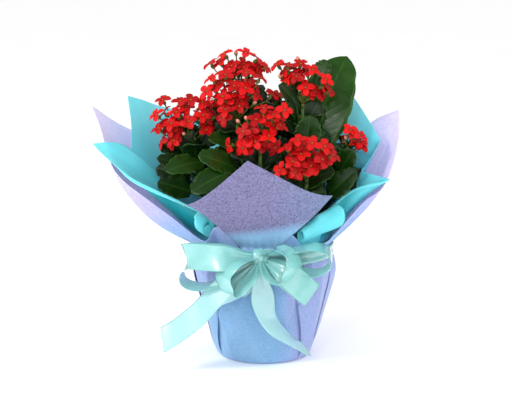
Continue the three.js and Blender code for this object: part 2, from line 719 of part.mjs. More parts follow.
// A floret and its stalk as one body: four petals round a dip, over a stalk that runs to the root.
function floret(place, root, spin, radius) {
  const out = place.clone().sub(root).normalize();
  const right = Math.abs(out.z) < 0.9 ? vec(0, 0, 1).cross(out).normalize() : vec(1, 0, 0);
  const ahead = out.clone().cross(right);
  const points = [];
  const at = (reach, degrees, rise) =>
    points.push(
      place
        .clone()
        .addScaledVector(right, reach * Math.cos(radians(degrees)))
        .addScaledVector(ahead, reach * Math.sin(radians(degrees)))
        .addScaledVector(out, rise),
    ) - 1;
  const rim = [];
  for (let petal = 0; petal < 4; petal += 1) {
    const middle = spin + 90 * petal;
    rim.push(at(radius * 0.34, middle - 45, -0.4));
    rim.push(at(radius * 0.9, middle - 26, 0.3));
    rim.push(at(radius, middle + 21, 0));
  }
  const dip = at(0, 0, -0.4);
  const corners = [0, 1, 2, 3];
  const throat = corners.map((k) => at(1.4, spin - 45 + 90 * k, -FLORET_DEPTH));
  const end = corners.map((k) => at(PEDICEL_RADIUS, spin - 45 + 90 * k, -place.distanceTo(root)));
  const faces = [];
  rim.forEach((corner, k) => {
    const next = rim[(k + 1) % rim.length];
    const petal = Math.floor(k / 3);
    faces.push([dip, corner, next], [corner, throat[petal], next]);
    if (k % 3 === 2) faces.push([next, throat[petal], throat[(petal + 1) % 4]]);
  });
  for (const k of corners) {
    const next = (k + 1) % 4;
    faces.push([throat[k], end[k], end[next]], [throat[k], end[next], throat[next]]);
  }
  faces.push([end[0], end[2], end[1]], [end[0], end[3], end[2]]);
  return geometryOf(points, faces);
}

// A closed bud on its stalk
function bud(place, root) {
  const out = place.clone().sub(root).normalize();
  const below = (distance) => place.clone().addScaledVector(out, -distance);
  return tube([root, below(5), below(2.6), place], [PEDICEL_RADIUS, PEDICEL_RADIUS, 1.9, 0.5], 4);
}

// The height of something seen at a height in an upright view from 10 degrees above, at a depth
const VIEW_RISE = radians(10);
const heightOf = (seen, y) => (seen - y * Math.sin(VIEW_RISE)) / Math.cos(VIEW_RISE);

// Flower heads: where the stalks of the florets meet, the depth of the middle of the head, its half width,
// half height and half depth, and the florets' places across and up as seen from the front.
const HEADS = [
  {
    name: "flower_head_left",
    root: [-75, -6, 220],
    middle: [-77, -14, 238],
    size: [34, 28, 20],
    florets: [
      [-99, 259], [-105, 244], [-103, 231], [-90, 235], [-99, 218], [-88, 219], [-81, 257],
      [-85, 246], [-71, 258], [-73, 237], [-60, 256], [-59, 243], [-47, 243], [-56, 229],
    ],
    buds: [[-78, 226], [-92, 247]],
    behind: 1,
  },
  {
    name: "flower_head_top",
    root: [-24, 14, 272],
    middle: [-26, 14, 292],
    size: [36, 22, 16],
    florets: [[-53, 296], [-39, 305], [-32, 293], [-18, 306], [-20, 292], [-6, 300], [-8, 287], [2, 292]],
    buds: [[-28, 308]],
    behind: 1,
  },
  {
    name: "flower_head_middle",
    root: [-26, -14, 247],
    middle: [-25, -24, 264],
    size: [42, 30, 18],
    florets: [
      [-55, 265], [-50, 278], [-40, 260], [-37, 281], [-29, 270], [-18, 268], [-17, 283],
      [-4, 278], [-24, 251], [-39, 240], [8, 263],
    ],
    buds: [[-8, 255]],
    behind: 1,
  },
  {
    name: "flower_head_upper_right",
    root: [38, -2, 262],
    middle: [40, -8, 281],
    size: [34, 24, 16],
    florets: [
      [12, 293], [23, 292], [35, 293], [47, 287], [31, 280], [40, 270], [50, 266], [60, 278], [64, 268],
      [20, 276],
    ],
    buds: [[32, 300], [14, 282]],
    behind: 1,
  },
  {
    name: "flower_head_centre",
    root: [-4, -50, 222],
    middle: [-6, -60, 230],
    size: [38, 28, 16],
    florets: [
      [-1, 247], [-8, 236], [8, 241], [19, 245], [15, 231], [-20, 225], [-34, 212], [-21, 210],
      [-9, 216], [4, 221], [10, 210],
    ],
    buds: [[-18, 239], [-26, 236]],
    behind: 1,
  },
  {
    name: "flower_head_lower_right",
    root: [40, -60, 196],
    middle: [38, -72, 205],
    size: [34, 26, 15],
    florets: [
      [31, 217], [20, 210], [44, 214], [34, 204], [26, 197], [14, 189], [29, 187], [43, 193],
      [54, 199], [56, 211], [64, 203],
    ],
    buds: [],
    behind: 1,
  },
  {
    name: "flower_head_far_right",
    root: [82, 0, 208],
    middle: [88, -4, 222],
    size: [16, 12, 9],
    florets: [[85, 230], [94, 225], [96, 215]],
    buds: [[80, 224], [88, 209]],
    behind: 1,
  },
];

// Two more heads stand behind, unseen from the front. Their florets follow a spiral over a dome.
const BACK_HEADS = [
  { name: "flower_head_back_left", root: [-44, 50, 236], toward: [-0.35, 0.55, 1] },
  { name: "flower_head_back_right", root: [18, 58, 240], toward: [0.2, 0.6, 1] },
];
const BACK_FLORETS = 8;
const HEAD_STUB = 6; // how far a head's thick stalk reaches below its root
const HEAD_BALL = 4.6; // the swelling where the stalks of the florets meet

function frontPlace(head, [x, seen]) {
  const [mx, my, mseen] = head.middle;
  const [a, b, c] = head.size;
  const inside = 1 - ((x - mx) / a) ** 2 - ((seen - mseen) / b) ** 2;
  const y = my - c * Math.sqrt(Math.max(inside, 0));
  return vec(x, y, heightOf(seen, y));
}

function domePlaces(root, toward, count, reach, random) {
  const axis = vec(...toward).normalize();
  const right = vec(0, 1, 0).cross(axis).normalize();
  const ahead = axis.clone().cross(right);
  return Array.from({ length: count }, (_, k) => {
    const turn = radians(137.5 * k + 12 * random());
    const lean = 0.95 * Math.sqrt((k + 0.5) / count);
    return root
      .clone()
      .addScaledVector(axis, reach * Math.cos(lean))
      .addScaledVector(right, reach * Math.sin(lean) * Math.cos(turn))
      .addScaledVector(ahead, reach * Math.sin(lean) * Math.sin(turn));
  });
}

function flowerHead(head, index) {
  const random = randomFrom(100 + index);
  const root = vec(...head.root);
  const ball = new THREE.OctahedronGeometry(HEAD_BALL).translate(root.x, root.y, root.z);
  const pieces = [ball, tube([root.clone().add(vec(0, 0, -HEAD_STUB)), root], [1.8, 1.6], 4)];
  let places = [];
  if (head.florets) {
    places = head.florets.map((seen) => frontPlace(head, seen));
    for (let k = 0; k < head.behind; k += 1) {
      const x = (k - 0.25) * head.size[0];
      places.push(vec(root.x + x, root.y + 17, root.z + 16));
    }
    for (const seen of head.buds) pieces.push(bud(frontPlace(head, seen), root));
  } else {
    places = domePlaces(root, head.toward, BACK_FLORETS, 27, random);
  }
  for (const place of places)
    pieces.push(floret(place, root, 90 * random(), FLORET_RADIUS * (0.94 + 0.1 * random())));
  return fused(pieces);
}

// The leafy shoots: where each stands in the soil, its crown, and the leaves that show. A leaf is given by
// its place along the stem, its foot and its tip (across, up as seen from the front, depth), its width and
// the way its upper side faces.
const SHOOTS = [
  {
    name: "shoot_left",
    stands: [-22, -2],
    crown: [-55, -5, 180],
    turn: 100,
    leaves: [
      [0.75, [-60, 197, -42], [-92, 188, -72], 24, [0.1, -0.75, 0.75]],
      [0.7, [-74, 190, -26], [-103, 201, -40], 19, [0.2, -0.8, 0.6]],
      [0.6, [-72, 168, -22], [-104, 178, -20], 28, [0.2, -0.8, 0.7]],
    ],
  },
  { name: "shoot_top", stands: [-6, 14], crown: [-16, 14, 195], turn: 60, leaves: [] },
  {
    name: "shoot_middle",
    stands: [-8, -10],
    crown: [-18, -12, 190],
    turn: 10,
    leaves: [[0.8, [-26, 212, -28], [-53, 219, -48], 24, [-0.3, -0.7, 0.7]]],
  },
  {
    name: "shoot_upper_right",
    stands: [16, 6],
    crown: [32, 6, 190],
    turn: 35,
    leaves: [
      [0.7, [36, 201, 3], [82, 303, 26], 56, [-0.1, -0.95, 0.2]],
      [0.85, [31, 252, -18], [14, 271, -34], 21, [0.3, -0.8, 0.6]],
      [0.8, [40, 215, -30], [44, 242, -38], 25, [0.1, -0.95, 0.3]],
      [0.9, [53, 283, 13], [64, 299, 15], 18, [-0.2, -0.9, 0.3]],
    ],
  },
  {
    name: "shoot_centre",
    stands: [-2, -28],
    crown: [-3, -42, 170],
    turn: 0,
    leaves: [
      [0.7, [-28, 190, -54], [-62, 203, -68], 25, [-0.2, -0.75, 0.7]],
      [0.6, [-34, 187, -66], [-68, 168, -82], 25, [-0.2, -0.85, 0.55]],
    ],
  },
  {
    name: "shoot_lower_right",
    stands: [16, -24],
    crown: [30, -45, 160],
    turn: 20,
    leaves: [
      [0.75, [34, 174, -48], [66, 188, -64], 25, [0, -0.7, 0.75]],
      [0.55, [32, 164, -54], [58, 168, -65], 21, [0, -0.85, 0.5]],
    ],
  },
  {
    name: "shoot_far_right",
    stands: [32, -6],
    crown: [66, 0, 170],
    turn: 70,
    leaves: [
      [0.6, [62, 166, -44], [87, 189, -60], 22, [-0.4, -0.9, 0.1]],
      [0.8, [74, 188, -18], [87, 209, -30], 23, [-0.2, -0.85, 0.4]],
    ],
  },
  { name: "shoot_back_left", stands: [-20, 24], crown: [-38, 34, 180], turn: 15, leaves: [] },
  { name: "shoot_back_right", stands: [8, 32], crown: [8, 44, 185], turn: 50, leaves: [] },
];

// Pairs of leaves further down each stem: their place along it, length and rise
const PAIRS = [
  [0.9, 46, 34],
  [0.6, 58, 20],
];
const PETIOLE_SHARE = 0.24;
const TRIES = [0, 22, -22, 44, -44];
const CLEARANCE = 0.6;

function stemCurve(shoot, head) {
  const [x, y] = shoot.stands;
  const [rx, ry, rz] = head.root;
  const stops = [vec(x, y, SOIL_TOP + 8), vec(...shoot.crown), vec(rx, ry, rz - HEAD_STUB - 6)];
  return new THREE.CatmullRomCurve3(stops, false, "centripetal");
}

// A stem is upright in the soil, follows its curve, and ends upright just under its flower head.
function stem(shoot, head, curve) {
  const steps = 5;
  const [x, y] = shoot.stands;
  const [rx, ry, rz] = head.root;
  const path = curve.getPoints(steps);
  path.unshift(vec(x, y, STEM_FOOT));
  path.push(vec(rx, ry, rz - HEAD_STUB - GAP - 1), vec(rx, ry, rz - HEAD_STUB - GAP));
  const radii = path.map((_, i) => lerp(STEM_RADIUS, 1.8, Math.max(i - 1, 0) / (path.length - 2)));
  return tube(path, radii, 6);
}

const seenPlace = ([x, seen, y]) => vec(x, y, heightOf(seen, y));

function touches(solid, others) {
  const box = solid.boundingBox();
  return others.some((other) => {
    const far = other.boundingBox();
    if ([0, 1, 2].some((k) => box.min[k] > far.max[k] || far.min[k] > box.max[k])) return false;
    return !solid.intersect(other).isEmpty();
  });
}

// A pair of leaves keeps clear of everything that stands already: each leaf turns a little to either side and
// then shortens until it is free, and is left out where there is no room.
function growPair(curve, [along, length, rise], turn, random, others) {
  const leaves = [];
  for (const half of [0, 180]) {
    const base = turn + half + 20 * (random() - 0.5);
    const grownLength = length * (0.92 + 0.16 * random());
    const slope = radians(rise + 14 * (random() - 0.5));
    const options = [1, 0.8].flatMap((scale) => TRIES.map((offset) => [scale, offset]));
    for (const [scale, offset] of options) {
      const from = curve.getPointAt(along);
      const direction = polar(base + offset, Math.cos(slope), Math.sin(slope));
      const foot = from.clone().addScaledVector(direction, grownLength * scale * PETIOLE_SHARE);
      const tip = from.clone().addScaledVector(direction, grownLength * scale);
      const spec = { from, foot, tip, width: 0.6 * grownLength * scale, scallops: 3 };
      if (touches(solidOf(leaf({ ...spec, grown: CLEARANCE })), others)) continue;
      leaves.push(leaf(spec));
      break;
    }
  }
  return leaves;
}

function growShoots(heads, standing) {
  const curves = SHOOTS.map((shoot, k) => stemCurve(shoot, heads[k]));
  const pieces = SHOOTS.map((shoot, k) => {
    const shown = shoot.leaves.map(([along, footSeen, tipSeen, width, facing]) => {
      const foot = seenPlace(footSeen);
      const tip = seenPlace(tipSeen);
      return leaf({ from: curves[k].getPointAt(along), foot, tip, width, face: vec(...facing), arch: 0.06 });
    });
    return [stem(shoot, heads[k], curves[k]), ...shown];
  });
  PAIRS.forEach((pair, level) => {
    SHOOTS.forEach((shoot, k) => {
      const others = pieces.flatMap((list, owner) => (owner === k ? list.slice(1) : list)).map(solidOf);
      const random = randomFrom(31 * k + level);
      const turn = shoot.turn + 90 * level;
      pieces[k].push(...growPair(curves[k], pair, turn, random, [...standing, ...others]));
    });
  });
  return pieces.map((list) => fused(list));
}

add("pot", growersPot(), 0x3a3a3c, 0.6);
add("outer_sheet", outerSheet(), BLUE, 0.8);
add("turquoise_sheet_left", turquoiseSheet(LEFT_CRESTS, 3, 4), TURQUOISE, 0.6);
add("turquoise_sheet_right", turquoiseSheet(RIGHT_CRESTS, 3, 4), TURQUOISE, 0.6);
add("front_sheet", frontSheet(), LILAC, 0.85);
add("soil", soil(SHOOTS.map((shoot) => shoot.stands)), 0x3a2a1c, 0.95);
add("ribbon_band", ribbonBand(), MINT, 0.35);
add("bow", bow(), MINT, 0.35);

const heads = [...HEADS, ...BACK_HEADS];
heads.forEach((head, index) => add(head.name, flowerHead(head, index), RED, 0.5));
const standing = plant.children.map((mesh) => solidOf(mesh.geometry));
growShoots(heads, standing).forEach((geometry, k) => add(SHOOTS[k].name, geometry, LEAF_GREEN, 0.45));

// The wrapped base comes to stand at height 0.
for (const mesh of plant.children) mesh.geometry.translate(0, 0, -BASE);

export default plant;
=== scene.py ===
# A gift-wrapped, flowering kalanchoe, dressed for rendering. Shapes are worked out in millimetres (+Z up, seen
# from -Y), with heights counted from a level BASE below the wrapped base, and become metres in the part's own
# frame when a mesh is made. Azimuths are in degrees, from +X towards +Y: the front is at -90, the left at 180.
import math

import bpy
import numpy as np
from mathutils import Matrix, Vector, noise
from mathutils.bvhtree import BVHTree


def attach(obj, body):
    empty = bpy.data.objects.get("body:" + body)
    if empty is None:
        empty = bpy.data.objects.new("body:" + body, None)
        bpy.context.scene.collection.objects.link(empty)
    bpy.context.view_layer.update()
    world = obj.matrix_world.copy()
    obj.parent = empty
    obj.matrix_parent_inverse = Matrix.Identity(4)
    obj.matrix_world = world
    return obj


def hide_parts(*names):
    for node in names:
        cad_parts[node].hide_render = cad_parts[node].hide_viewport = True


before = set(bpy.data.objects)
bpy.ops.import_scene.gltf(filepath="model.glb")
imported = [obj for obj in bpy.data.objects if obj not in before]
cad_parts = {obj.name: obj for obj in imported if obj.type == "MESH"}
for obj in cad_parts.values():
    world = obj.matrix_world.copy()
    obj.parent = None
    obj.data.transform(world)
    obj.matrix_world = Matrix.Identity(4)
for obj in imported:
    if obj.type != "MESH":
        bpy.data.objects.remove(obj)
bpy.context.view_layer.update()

MM = 0.001

# Sizes shared with the solids
BASE = 7
GAP = 0.35
SHEET = 0.8
RIBBON = 0.8
RIBBON_WIDTH = 25
SOIL_TOP = 97
STEM_FOOT = 72
STEM_RADIUS = 3.6
NECK_HEIGHT = 124
NECK_RADIUS = 68.6
BAND_BOTTOM = 110.5
BAND_TOP = 123
BAND_RADIUS = NECK_RADIUS + GAP + RIBBON / 2
PETIOLE_RADIUS = 1.7
FLORET_RADIUS = 8.4
SCALLOP = 1.6
LEAF_RIB = 2.2
LEAF_CUP = 0.16
HEAD_STUB = 6
SOIL_RADIUS = 57.2

# Thicknesses that show only here
CLOTH = 0.4
SATIN = 0.35
PETAL = 0.45


# Numbers and directions
def random_from(seed):
    """The seeded draws that the solids use, so that both place the same leaves and flowers."""
    state = seed

    def draw():
        nonlocal state
        state = (state + 0x6D2B79F5) & 0xFFFFFFFF
        t = ((state ^ (state >> 15)) * (1 | state)) & 0xFFFFFFFF
        t = ((t + (((t ^ (t >> 7)) * (61 | t)) & 0xFFFFFFFF)) & 0xFFFFFFFF) ^ t
        return ((t ^ (t >> 14)) & 0xFFFFFFFF) / 4294967296

    return draw


def vec(*values):
    return np.array(values, dtype=float)


UPWARD = vec(0, 0, 1)


def unit(v):
    return v / np.linalg.norm(v)


def lerp(a, b, t):
    return a + (b - a) * t


def clamp(value, low, high):
    return min(max(value, low), high)


def smoothstep(value, low, high):
    t = np.clip((value - low) / (high - low), 0, 1)
    return t * t * (3 - 2 * t)


def polar(azimuth, radius, z):
    return vec(radius * math.cos(math.radians(azimuth)), radius * math.sin(math.radians(azimuth)), z)


def rough(x, y, z, scale, seed=0.0):
    """Smooth noise between about -1 and 1, with features about as many millimetres across as the scale says."""
    return noise.noise(Vector((x / scale + seed, y / scale - seed, z / scale + 2 * seed)))


def runs(keys, corners):
    """Splits keys (azimuth, value, ...) into runs that meet in a corner at each of the given azimuths. A key that
    is written twice has its second values in the run that begins there."""
    parts = [[]]
    for key in keys:
        if parts[-1] and parts[-1][0][0] == key[0]:
            parts[-1] = []
        elif key[0] in corners:
            parts[-1].append(key)
            parts.append([])
        parts[-1].append(key)
    return parts


def between(parts, azimuth):
    """A smooth curve through the keys of runs that meet in a corner."""
    keys = next((part for part in parts if azimuth <= part[-1][0]), parts[-1])
    i = 0
    while i < len(keys) - 2 and azimuth > keys[i + 1][0]:
        i += 1
    low, high = keys[i], keys[i + 1]
    before, after = keys[max(i - 1, 0)], keys[min(i + 2, len(keys) - 1)]
    span = high[0] - low[0]
    t = clamp((azimuth - low[0]) / span, 0, 1)
    values = []
    for k in range(1, len(low)):
        leaving = (high[k] - before[k]) / (high[0] - before[0]) * span
        arriving = (after[k] - low[k]) / (after[0] - low[0]) * span
        ends = (2 * t**3 - 3 * t**2 + 1) * low[k] + (3 * t**2 - 2 * t**3) * high[k]
        values.append(ends + (t**3 - 2 * t**2 + t) * leaving + (t**3 - t**2) * arriving)
    return values


def azimuths_of(parts, widest):
    """The azimuths of all keys, and more between them, no further apart than the widest step."""
    stops = sorted({key[0] for part in parts for key in part})
    places = []
    for low, high in zip(stops, stops[1:]):
        count = math.ceil((high - low) / widest)
        places += [lerp(low, high, k / count) for k in range(count)]
    return places + [stops[-1]]


class Curve:
    """A centripetal Catmull-Rom curve through its stops, read by its parameter or by its length."""

    def __init__(self, stops):
        self.stops = [np.array(stop, dtype=float) for stop in stops]
        table = np.array([self.at(u) for u in np.linspace(0, 1, 201)])
        steps = np.linalg.norm(np.diff(table, axis=0), axis=1)
        self.lengths = np.concatenate([[0], np.cumsum(steps)])

    def at(self, u):
        stops = self.stops
        count = len(stops)
        place = (count - 1) * u
        i = min(int(math.floor(place)), count - 2)
        weight = place - i
        p1, p2 = stops[i], stops[i + 1]
        p0 = stops[i - 1] if i > 0 else 2 * stops[0] - stops[1]
        p3 = stops[i + 2] if i + 2 < count else 2 * stops[-1] - stops[-2]
        d0, d1, d2 = (math.sqrt(np.linalg.norm(b - a)) for a, b in ((p0, p1), (p1, p2), (p2, p3)))
        t1 = ((p1 - p0) / d0 - (p2 - p0) / (d0 + d1) + (p2 - p1) / d1) * d1
        t2 = ((p2 - p1) / d1 - (p3 - p1) / (d1 + d2) + (p3 - p2) / d2) * d1
        square, cube = -3 * p1 + 3 * p2 - 2 * t1 - t2, 2 * p1 - 2 * p2 + t1 + t2
        return p1 + t1 * weight + square * weight**2 + cube * weight**3

    def at_length(self, share):
        target = share * self.lengths[-1]
        return self.at(float(np.interp(target, self.lengths, np.linspace(0, 1, 201))))

    def heading(self, share):
        low, high = max(share - 1e-3, 0), min(share + 1e-3, 1)
        return unit(self.at_length(high) - self.at_length(low))

    @property
    def length(self):
        return self.lengths[-1]


# Meshes
class Shape:
    """Points, faces and values at the points, gathered from several patches into one mesh."""

    def __init__(self):
        self.points, self.faces, self.values = [], [], {}

    def add(self, points, faces, **values):
        start = len(self.points)
        self.points.extend(np.asarray(points, dtype=float).reshape(-1, 3).tolist())
        self.faces.extend([tuple(start + k for k in face) for face in faces])
        count = len(self.points) - start
        for name, value in values.items():
            known = self.values.setdefault(name, [0.0] * start)
            known.extend([0.0] * (start - len(known)))
            known.extend(np.broadcast_to(np.asarray(value, dtype=float), (count,)).tolist())

    def piece(self, name, material, slot, replaces=(), solid=0):
        mesh = bpy.data.meshes.new(name)
        mesh.from_pydata([(x * MM, y * MM, (z - BASE) * MM) for x, y, z in self.points], [], self.faces)
        for key, values in self.values.items():
            values.extend([0.0] * (len(self.points) - len(values)))
            mesh.attributes.new(key, "FLOAT", "POINT").data.foreach_set("value", values)
        mesh.materials.append(material)
        mesh.polygons.foreach_set("use_smooth", [True] * len(mesh.polygons))
        mesh.update()
        piece = bpy.data.objects.new(name, mesh)
        bpy.context.scene.collection.objects.link(piece)
        if solid:
            modifier = piece.modifiers.new("thickness", "SOLIDIFY")
            modifier.thickness = solid * MM
            modifier.offset = 0
        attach(piece, "root")
        if replaces:
            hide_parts(*replaces)
        return piece


def grid_of(columns, rows, place):
    """Points over a grid, from a function of column and row."""
    return np.array([[place(i, j) for j in range(rows)] for i in range(columns)])


def grid_faces(columns, rows, ring=False):
    """Quads over a grid of points, stored column by column."""
    return [
        (i * rows + j, (i + 1) % columns * rows + j, (i + 1) % columns * rows + j + 1, i * rows + j + 1)
        for i in range(columns if ring else columns - 1)
        for j in range(rows - 1)
    ]


def grid_normals(grid, ring=False):
    along = np.roll(grid, -1, axis=0) - np.roll(grid, 1, axis=0) if ring else np.gradient(grid, axis=0)
    normals = np.cross(along, np.gradient(grid, axis=1))
    return normals / np.maximum(np.linalg.norm(normals, axis=2, keepdims=True), 1e-9)


def strip_values(steps, lanes):
    """How far along a strip each of its points lies, from 0 to 1, and how far across, from -1 to 1."""
    return (
        np.repeat(np.linspace(0, 1, steps + 1), lanes + 1),
        np.tile(np.linspace(-1, 1, lanes + 1), steps + 1),
    )


def ring_faces(rings, sides):
    """Quads between rings of points that follow each other, then a cap at each end."""
    faces = [
        (i * sides + k, (i + 1) * sides + k, (i + 1) * sides + (k + 1) % sides, i * sides + (k + 1) % sides)
        for i in range(rings - 1)
        for k in range(sides)
    ]
    last = (rings - 1) * sides
    return faces + [tuple(range(sides)), tuple(last + k for k in reversed(range(sides)))]


def tube_patch(path, radii, sides):
    """A closed tube through a path, with a radius at each place."""
    path = [np.array(place, dtype=float) for place in path]
    points = []
    across = vec(1, 0, 0) if abs(unit(path[1] - path[0])[0]) < 0.9 else vec(0, 1, 0)
    for i, (place, radius) in enumerate(zip(path, radii)):
        tangent = unit(path[min(i + 1, len(path) - 1)] - path[max(i - 1, 0)])
        across = unit(across - across.dot(tangent) * tangent)
        other = np.cross(tangent, across)
        for turn in np.arange(sides) * 2 * math.pi / sides:
            points.append(place + across * radius * math.cos(turn) + other * radius * math.sin(turn))
    return points, [(face[0], *reversed(face[1:])) for face in ring_faces(len(path), sides)]


# Materials
def colour(code):
    """A linear colour from a six-digit code."""
    values = [int(code[k : k + 2], 16) / 255 for k in (0, 2, 4)]
    return tuple(((v + 0.055) / 1.055) ** 2.4 if v > 0.04045 else v / 12.92 for v in values) + (1.0,)


class Material:
    """A material on Blender's own surface shader, with short ways to add and join nodes."""

    def __init__(self, name, roughness, **sockets):
        self.material = bpy.data.materials.new(name)
        self.material.use_nodes = True
        self.tree = self.material.node_tree
        self.shader = self.tree.nodes["Principled BSDF"]
        for socket, value in {"Roughness": roughness, **sockets}.items():
            self.shader.inputs[socket.replace("_", " ")].default_value = value

    def join(self, value, socket):
        if isinstance(value, bpy.types.NodeSocket):
            self.tree.links.new(value, socket)
        else:
            socket.default_value = value

    def node(self, kind, settings=None, **inputs):
        node = self.tree.nodes.new("ShaderNode" + kind)
        for key, value in (settings or {}).items():
            setattr(node, key, value)
        for key, value in inputs.items():
            self.join(value, node.inputs[int(key[1:]) if key[1:].isdigit() else key])
        return node

    def place(self):
        return self.node("TexCoord").outputs["Object"]

    def value(self, name):
        return self.node("Attribute", {"attribute_name": name}).outputs["Fac"]

    def noise(self, scale, detail=3.0, roughness=0.55, place=None):
        vector = place if place is not None else self.place()
        node = self.node("TexNoise", Vector=vector, Scale=scale, Detail=detail, Roughness=roughness)
        return node.outputs["Fac"]

    def ramp(self, factor, *stops):
        node = self.node("ValToRGB", Fac=factor)
        elements = node.color_ramp.elements
        while len(elements) < len(stops):
            elements.new(0.5)
        for element, (position, code) in zip(elements, stops):
            element.position = position
            element.color = colour(code)
        return node.outputs["Color"]

    def range(self, value, low, high, to_low=0.0, to_high=1.0):
        return self.node("MapRange", i0=value, i1=low, i2=high, i3=to_low, i4=to_high).outputs["Result"]

    def mix(self, factor, first, second, blend="MIX"):
        settings = {"data_type": "RGBA", "blend_type": blend}
        return self.node("Mix", settings, i0=factor, i6=first, i7=second).outputs[2]

    def math(self, operation, first, second=0.0):
        return self.node("Math", {"operation": operation}, i0=first, i1=second).outputs["Value"]

    def add(self, first, second):
        return self.math("ADD", first, second)

    def times(self, first, second):
        return self.math("MULTIPLY", first, second)

    def absolute(self, value):
        return self.math("ABSOLUTE", value)

    def sum_of(self, first, share, second, other_share):
        return self.add(self.times(first, share), self.times(second, other_share))

    def colour(self, socket):
        self.join(socket, self.shader.inputs["Base Color"])

    def bump(self, height, distance, strength=1.0):
        node = self.node("Bump", Height=height, Distance=distance * MM, Strength=strength)
        self.join(node.outputs["Normal"], self.shader.inputs["Normal"])


# Light passes into thin cloth, paper and satin about this far
THIN = {"Subsurface_Radius": (1.0, 1.0, 1.0), "Subsurface_Scale": 0.003}


def fibre(m, base, dark_code, light_code, amount):
    """Mottles a base colour with the cloudy fibres of a non-woven sheet, and returns colour and height."""
    fibres = m.sum_of(m.noise(520, 4.0, 0.62), 0.6, m.noise(1900, 3.0, 0.6), 0.4)
    tone = m.ramp(fibres, (0.36, dark_code), (0.5, "BCBCBC"), (0.64, light_code))
    return m.mix(amount, base, tone, "OVERLAY"), fibres


def grained(name, roughness, noise, stops, bump):
    """A plain material whose colour and relief follow the same grain."""
    m = Material(name, roughness)
    grain = m.noise(*noise)
    m.colour(m.ramp(grain, *stops))
    m.bump(grain, *bump)
    return m.material


def outer_material():
    """Non-woven cloth, blue round the pot and lilac towards its corners, with a painted lavender highlight on the
    pot's left and right sides.
    """
    sheen = {"Sheen_Weight": 0.15, "Sheen_Roughness": 0.45}
    m = Material("outer sheet cloth", 0.7, Subsurface_Weight=0.5, **sheen, **THIN)
    parts = m.node("SeparateXYZ", Vector=m.place()).outputs
    height, sideways = parts["Z"], parts["X"]
    drift = m.times(m.add(m.noise(14, 2.0), -0.5), 0.05)
    base = m.ramp(
        m.range(m.add(height, drift), 0.0, 0.27),
        (0.0, "84AEDC"),
        (0.18, "78A6D6"),
        (0.42, "6C9CD0"),
        (0.52, "8CA4DE"),
        (0.62, "B0A8EA"),
        (0.8, "CCC0F4"),
    )
    # Painted highlight: lavender on the left and right sides of the pot, broken into upright streaks
    upright = m.node("Mapping", Vector=m.place(), Scale=(1.0, 1.0, 0.3)).outputs["Vector"]
    streaks = m.add(m.noise(16, 3.0, 0.5, upright), -0.5)
    right = m.range(m.add(sideways, m.times(streaks, 0.12)), 0.022, 0.04)
    left = m.range(m.add(sideways, m.times(streaks, -0.08)), -0.042, -0.055)
    painted_side_highlight = m.times(m.math("MAXIMUM", right, left), m.range(height, 0.125, 0.1))
    base = m.mix(m.times(painted_side_highlight, 0.75), base, colour("949CD6"))
    base, fibres = fibre(m, base, "A2A2A2", "D4D4D4", 0.6)
    m.colour(base)
    m.bump(fibres, 0.09, 0.6)
    return m.material


def front_material():
    """Thin lilac non-woven cloth with cloudy fibres, bluer and smoother low down where a layer lies behind it."""
    m = Material("front sheet cloth", 0.8, Sheen_Weight=0.1, Sheen_Roughness=0.4)
    parts = m.node("SeparateXYZ", Vector=m.place()).outputs
    low = m.range(m.add(parts["Z"], m.times(parts["X"], -0.12)), 0.146, 0.136)
    lilac = m.mix(m.range(parts["X"], 0.0, 0.08), colour("747097"), colour("6C7FA2"))
    base = m.mix(low, lilac, colour("8CB6DC"))
    base, fibres = fibre(m, base, "62626C", "E4E4EC", m.range(low, 0.0, 1.0, 0.8, 0.15))
    m.colour(base)
    m.bump(m.times(fibres, m.range(low, 0.0, 1.0, 1.0, 0.2)), 0.12, 0.7)
    return m.material


def turquoise_material():
    """Smooth coated wrapping paper with a silky face, with painted shade in dark teal in the mouths of its rolls.
    """
    m = Material("turquoise paper", 0.38, Specular_IOR_Level=0.4, Subsurface_Weight=0.45, **THIN)
    soft = m.noise(22, 2.0)
    # Painted shade: dark teal where a rolled edge hangs over a tube's mouth
    base = m.mix(m.value("painted_mouth_shade"), m.ramp(soft, (0.3, "56D2E2"), (0.7, "6CDEEC")), colour("0A8C96"))
    grain = m.noise(900, 2.0)
    m.colour(m.mix(0.3, base, m.ramp(grain, (0.3, "A8A8A8"), (0.7, "D0D0D0")), "OVERLAY"))
    m.bump(m.add(m.times(grain, 0.2), soft), 0.25, 0.25)
    return m.material


def ribbon_material():
    """Mint satin: fine threads along the ribbon, and a selvage at both edges. The tails are painted paler than
    the loops, as painted light.
    """
    gloss = {"Specular_IOR_Level": 1.0, "Coat_Weight": 0.8, "Coat_Roughness": 0.12}
    m = Material("mint satin", 0.22, **gloss, Subsurface_Weight=0.35, **THIN)
    across = m.value("across")
    base = m.ramp(m.noise(60, 2.0), (0.3, "72BAB6"), (0.7, "84C6C4"))
    # Painted light: the tails are made paler than the loops, which lie in more shade
    base = m.mix(m.times(m.value("pale"), 0.6), base, colour("A8D4DA"))
    edge = m.range(m.absolute(across), 0.9, 0.97, 0.0, 0.6)
    m.colour(m.mix(edge, base, colour("5CA89C")))
    threads = m.math("SINE", m.times(across, 130.0))
    picks = m.math("SINE", m.times(m.value("along"), 14.0))
    m.bump(m.add(threads, m.times(picks, 0.4)), 0.02, 0.5)
    return m.material


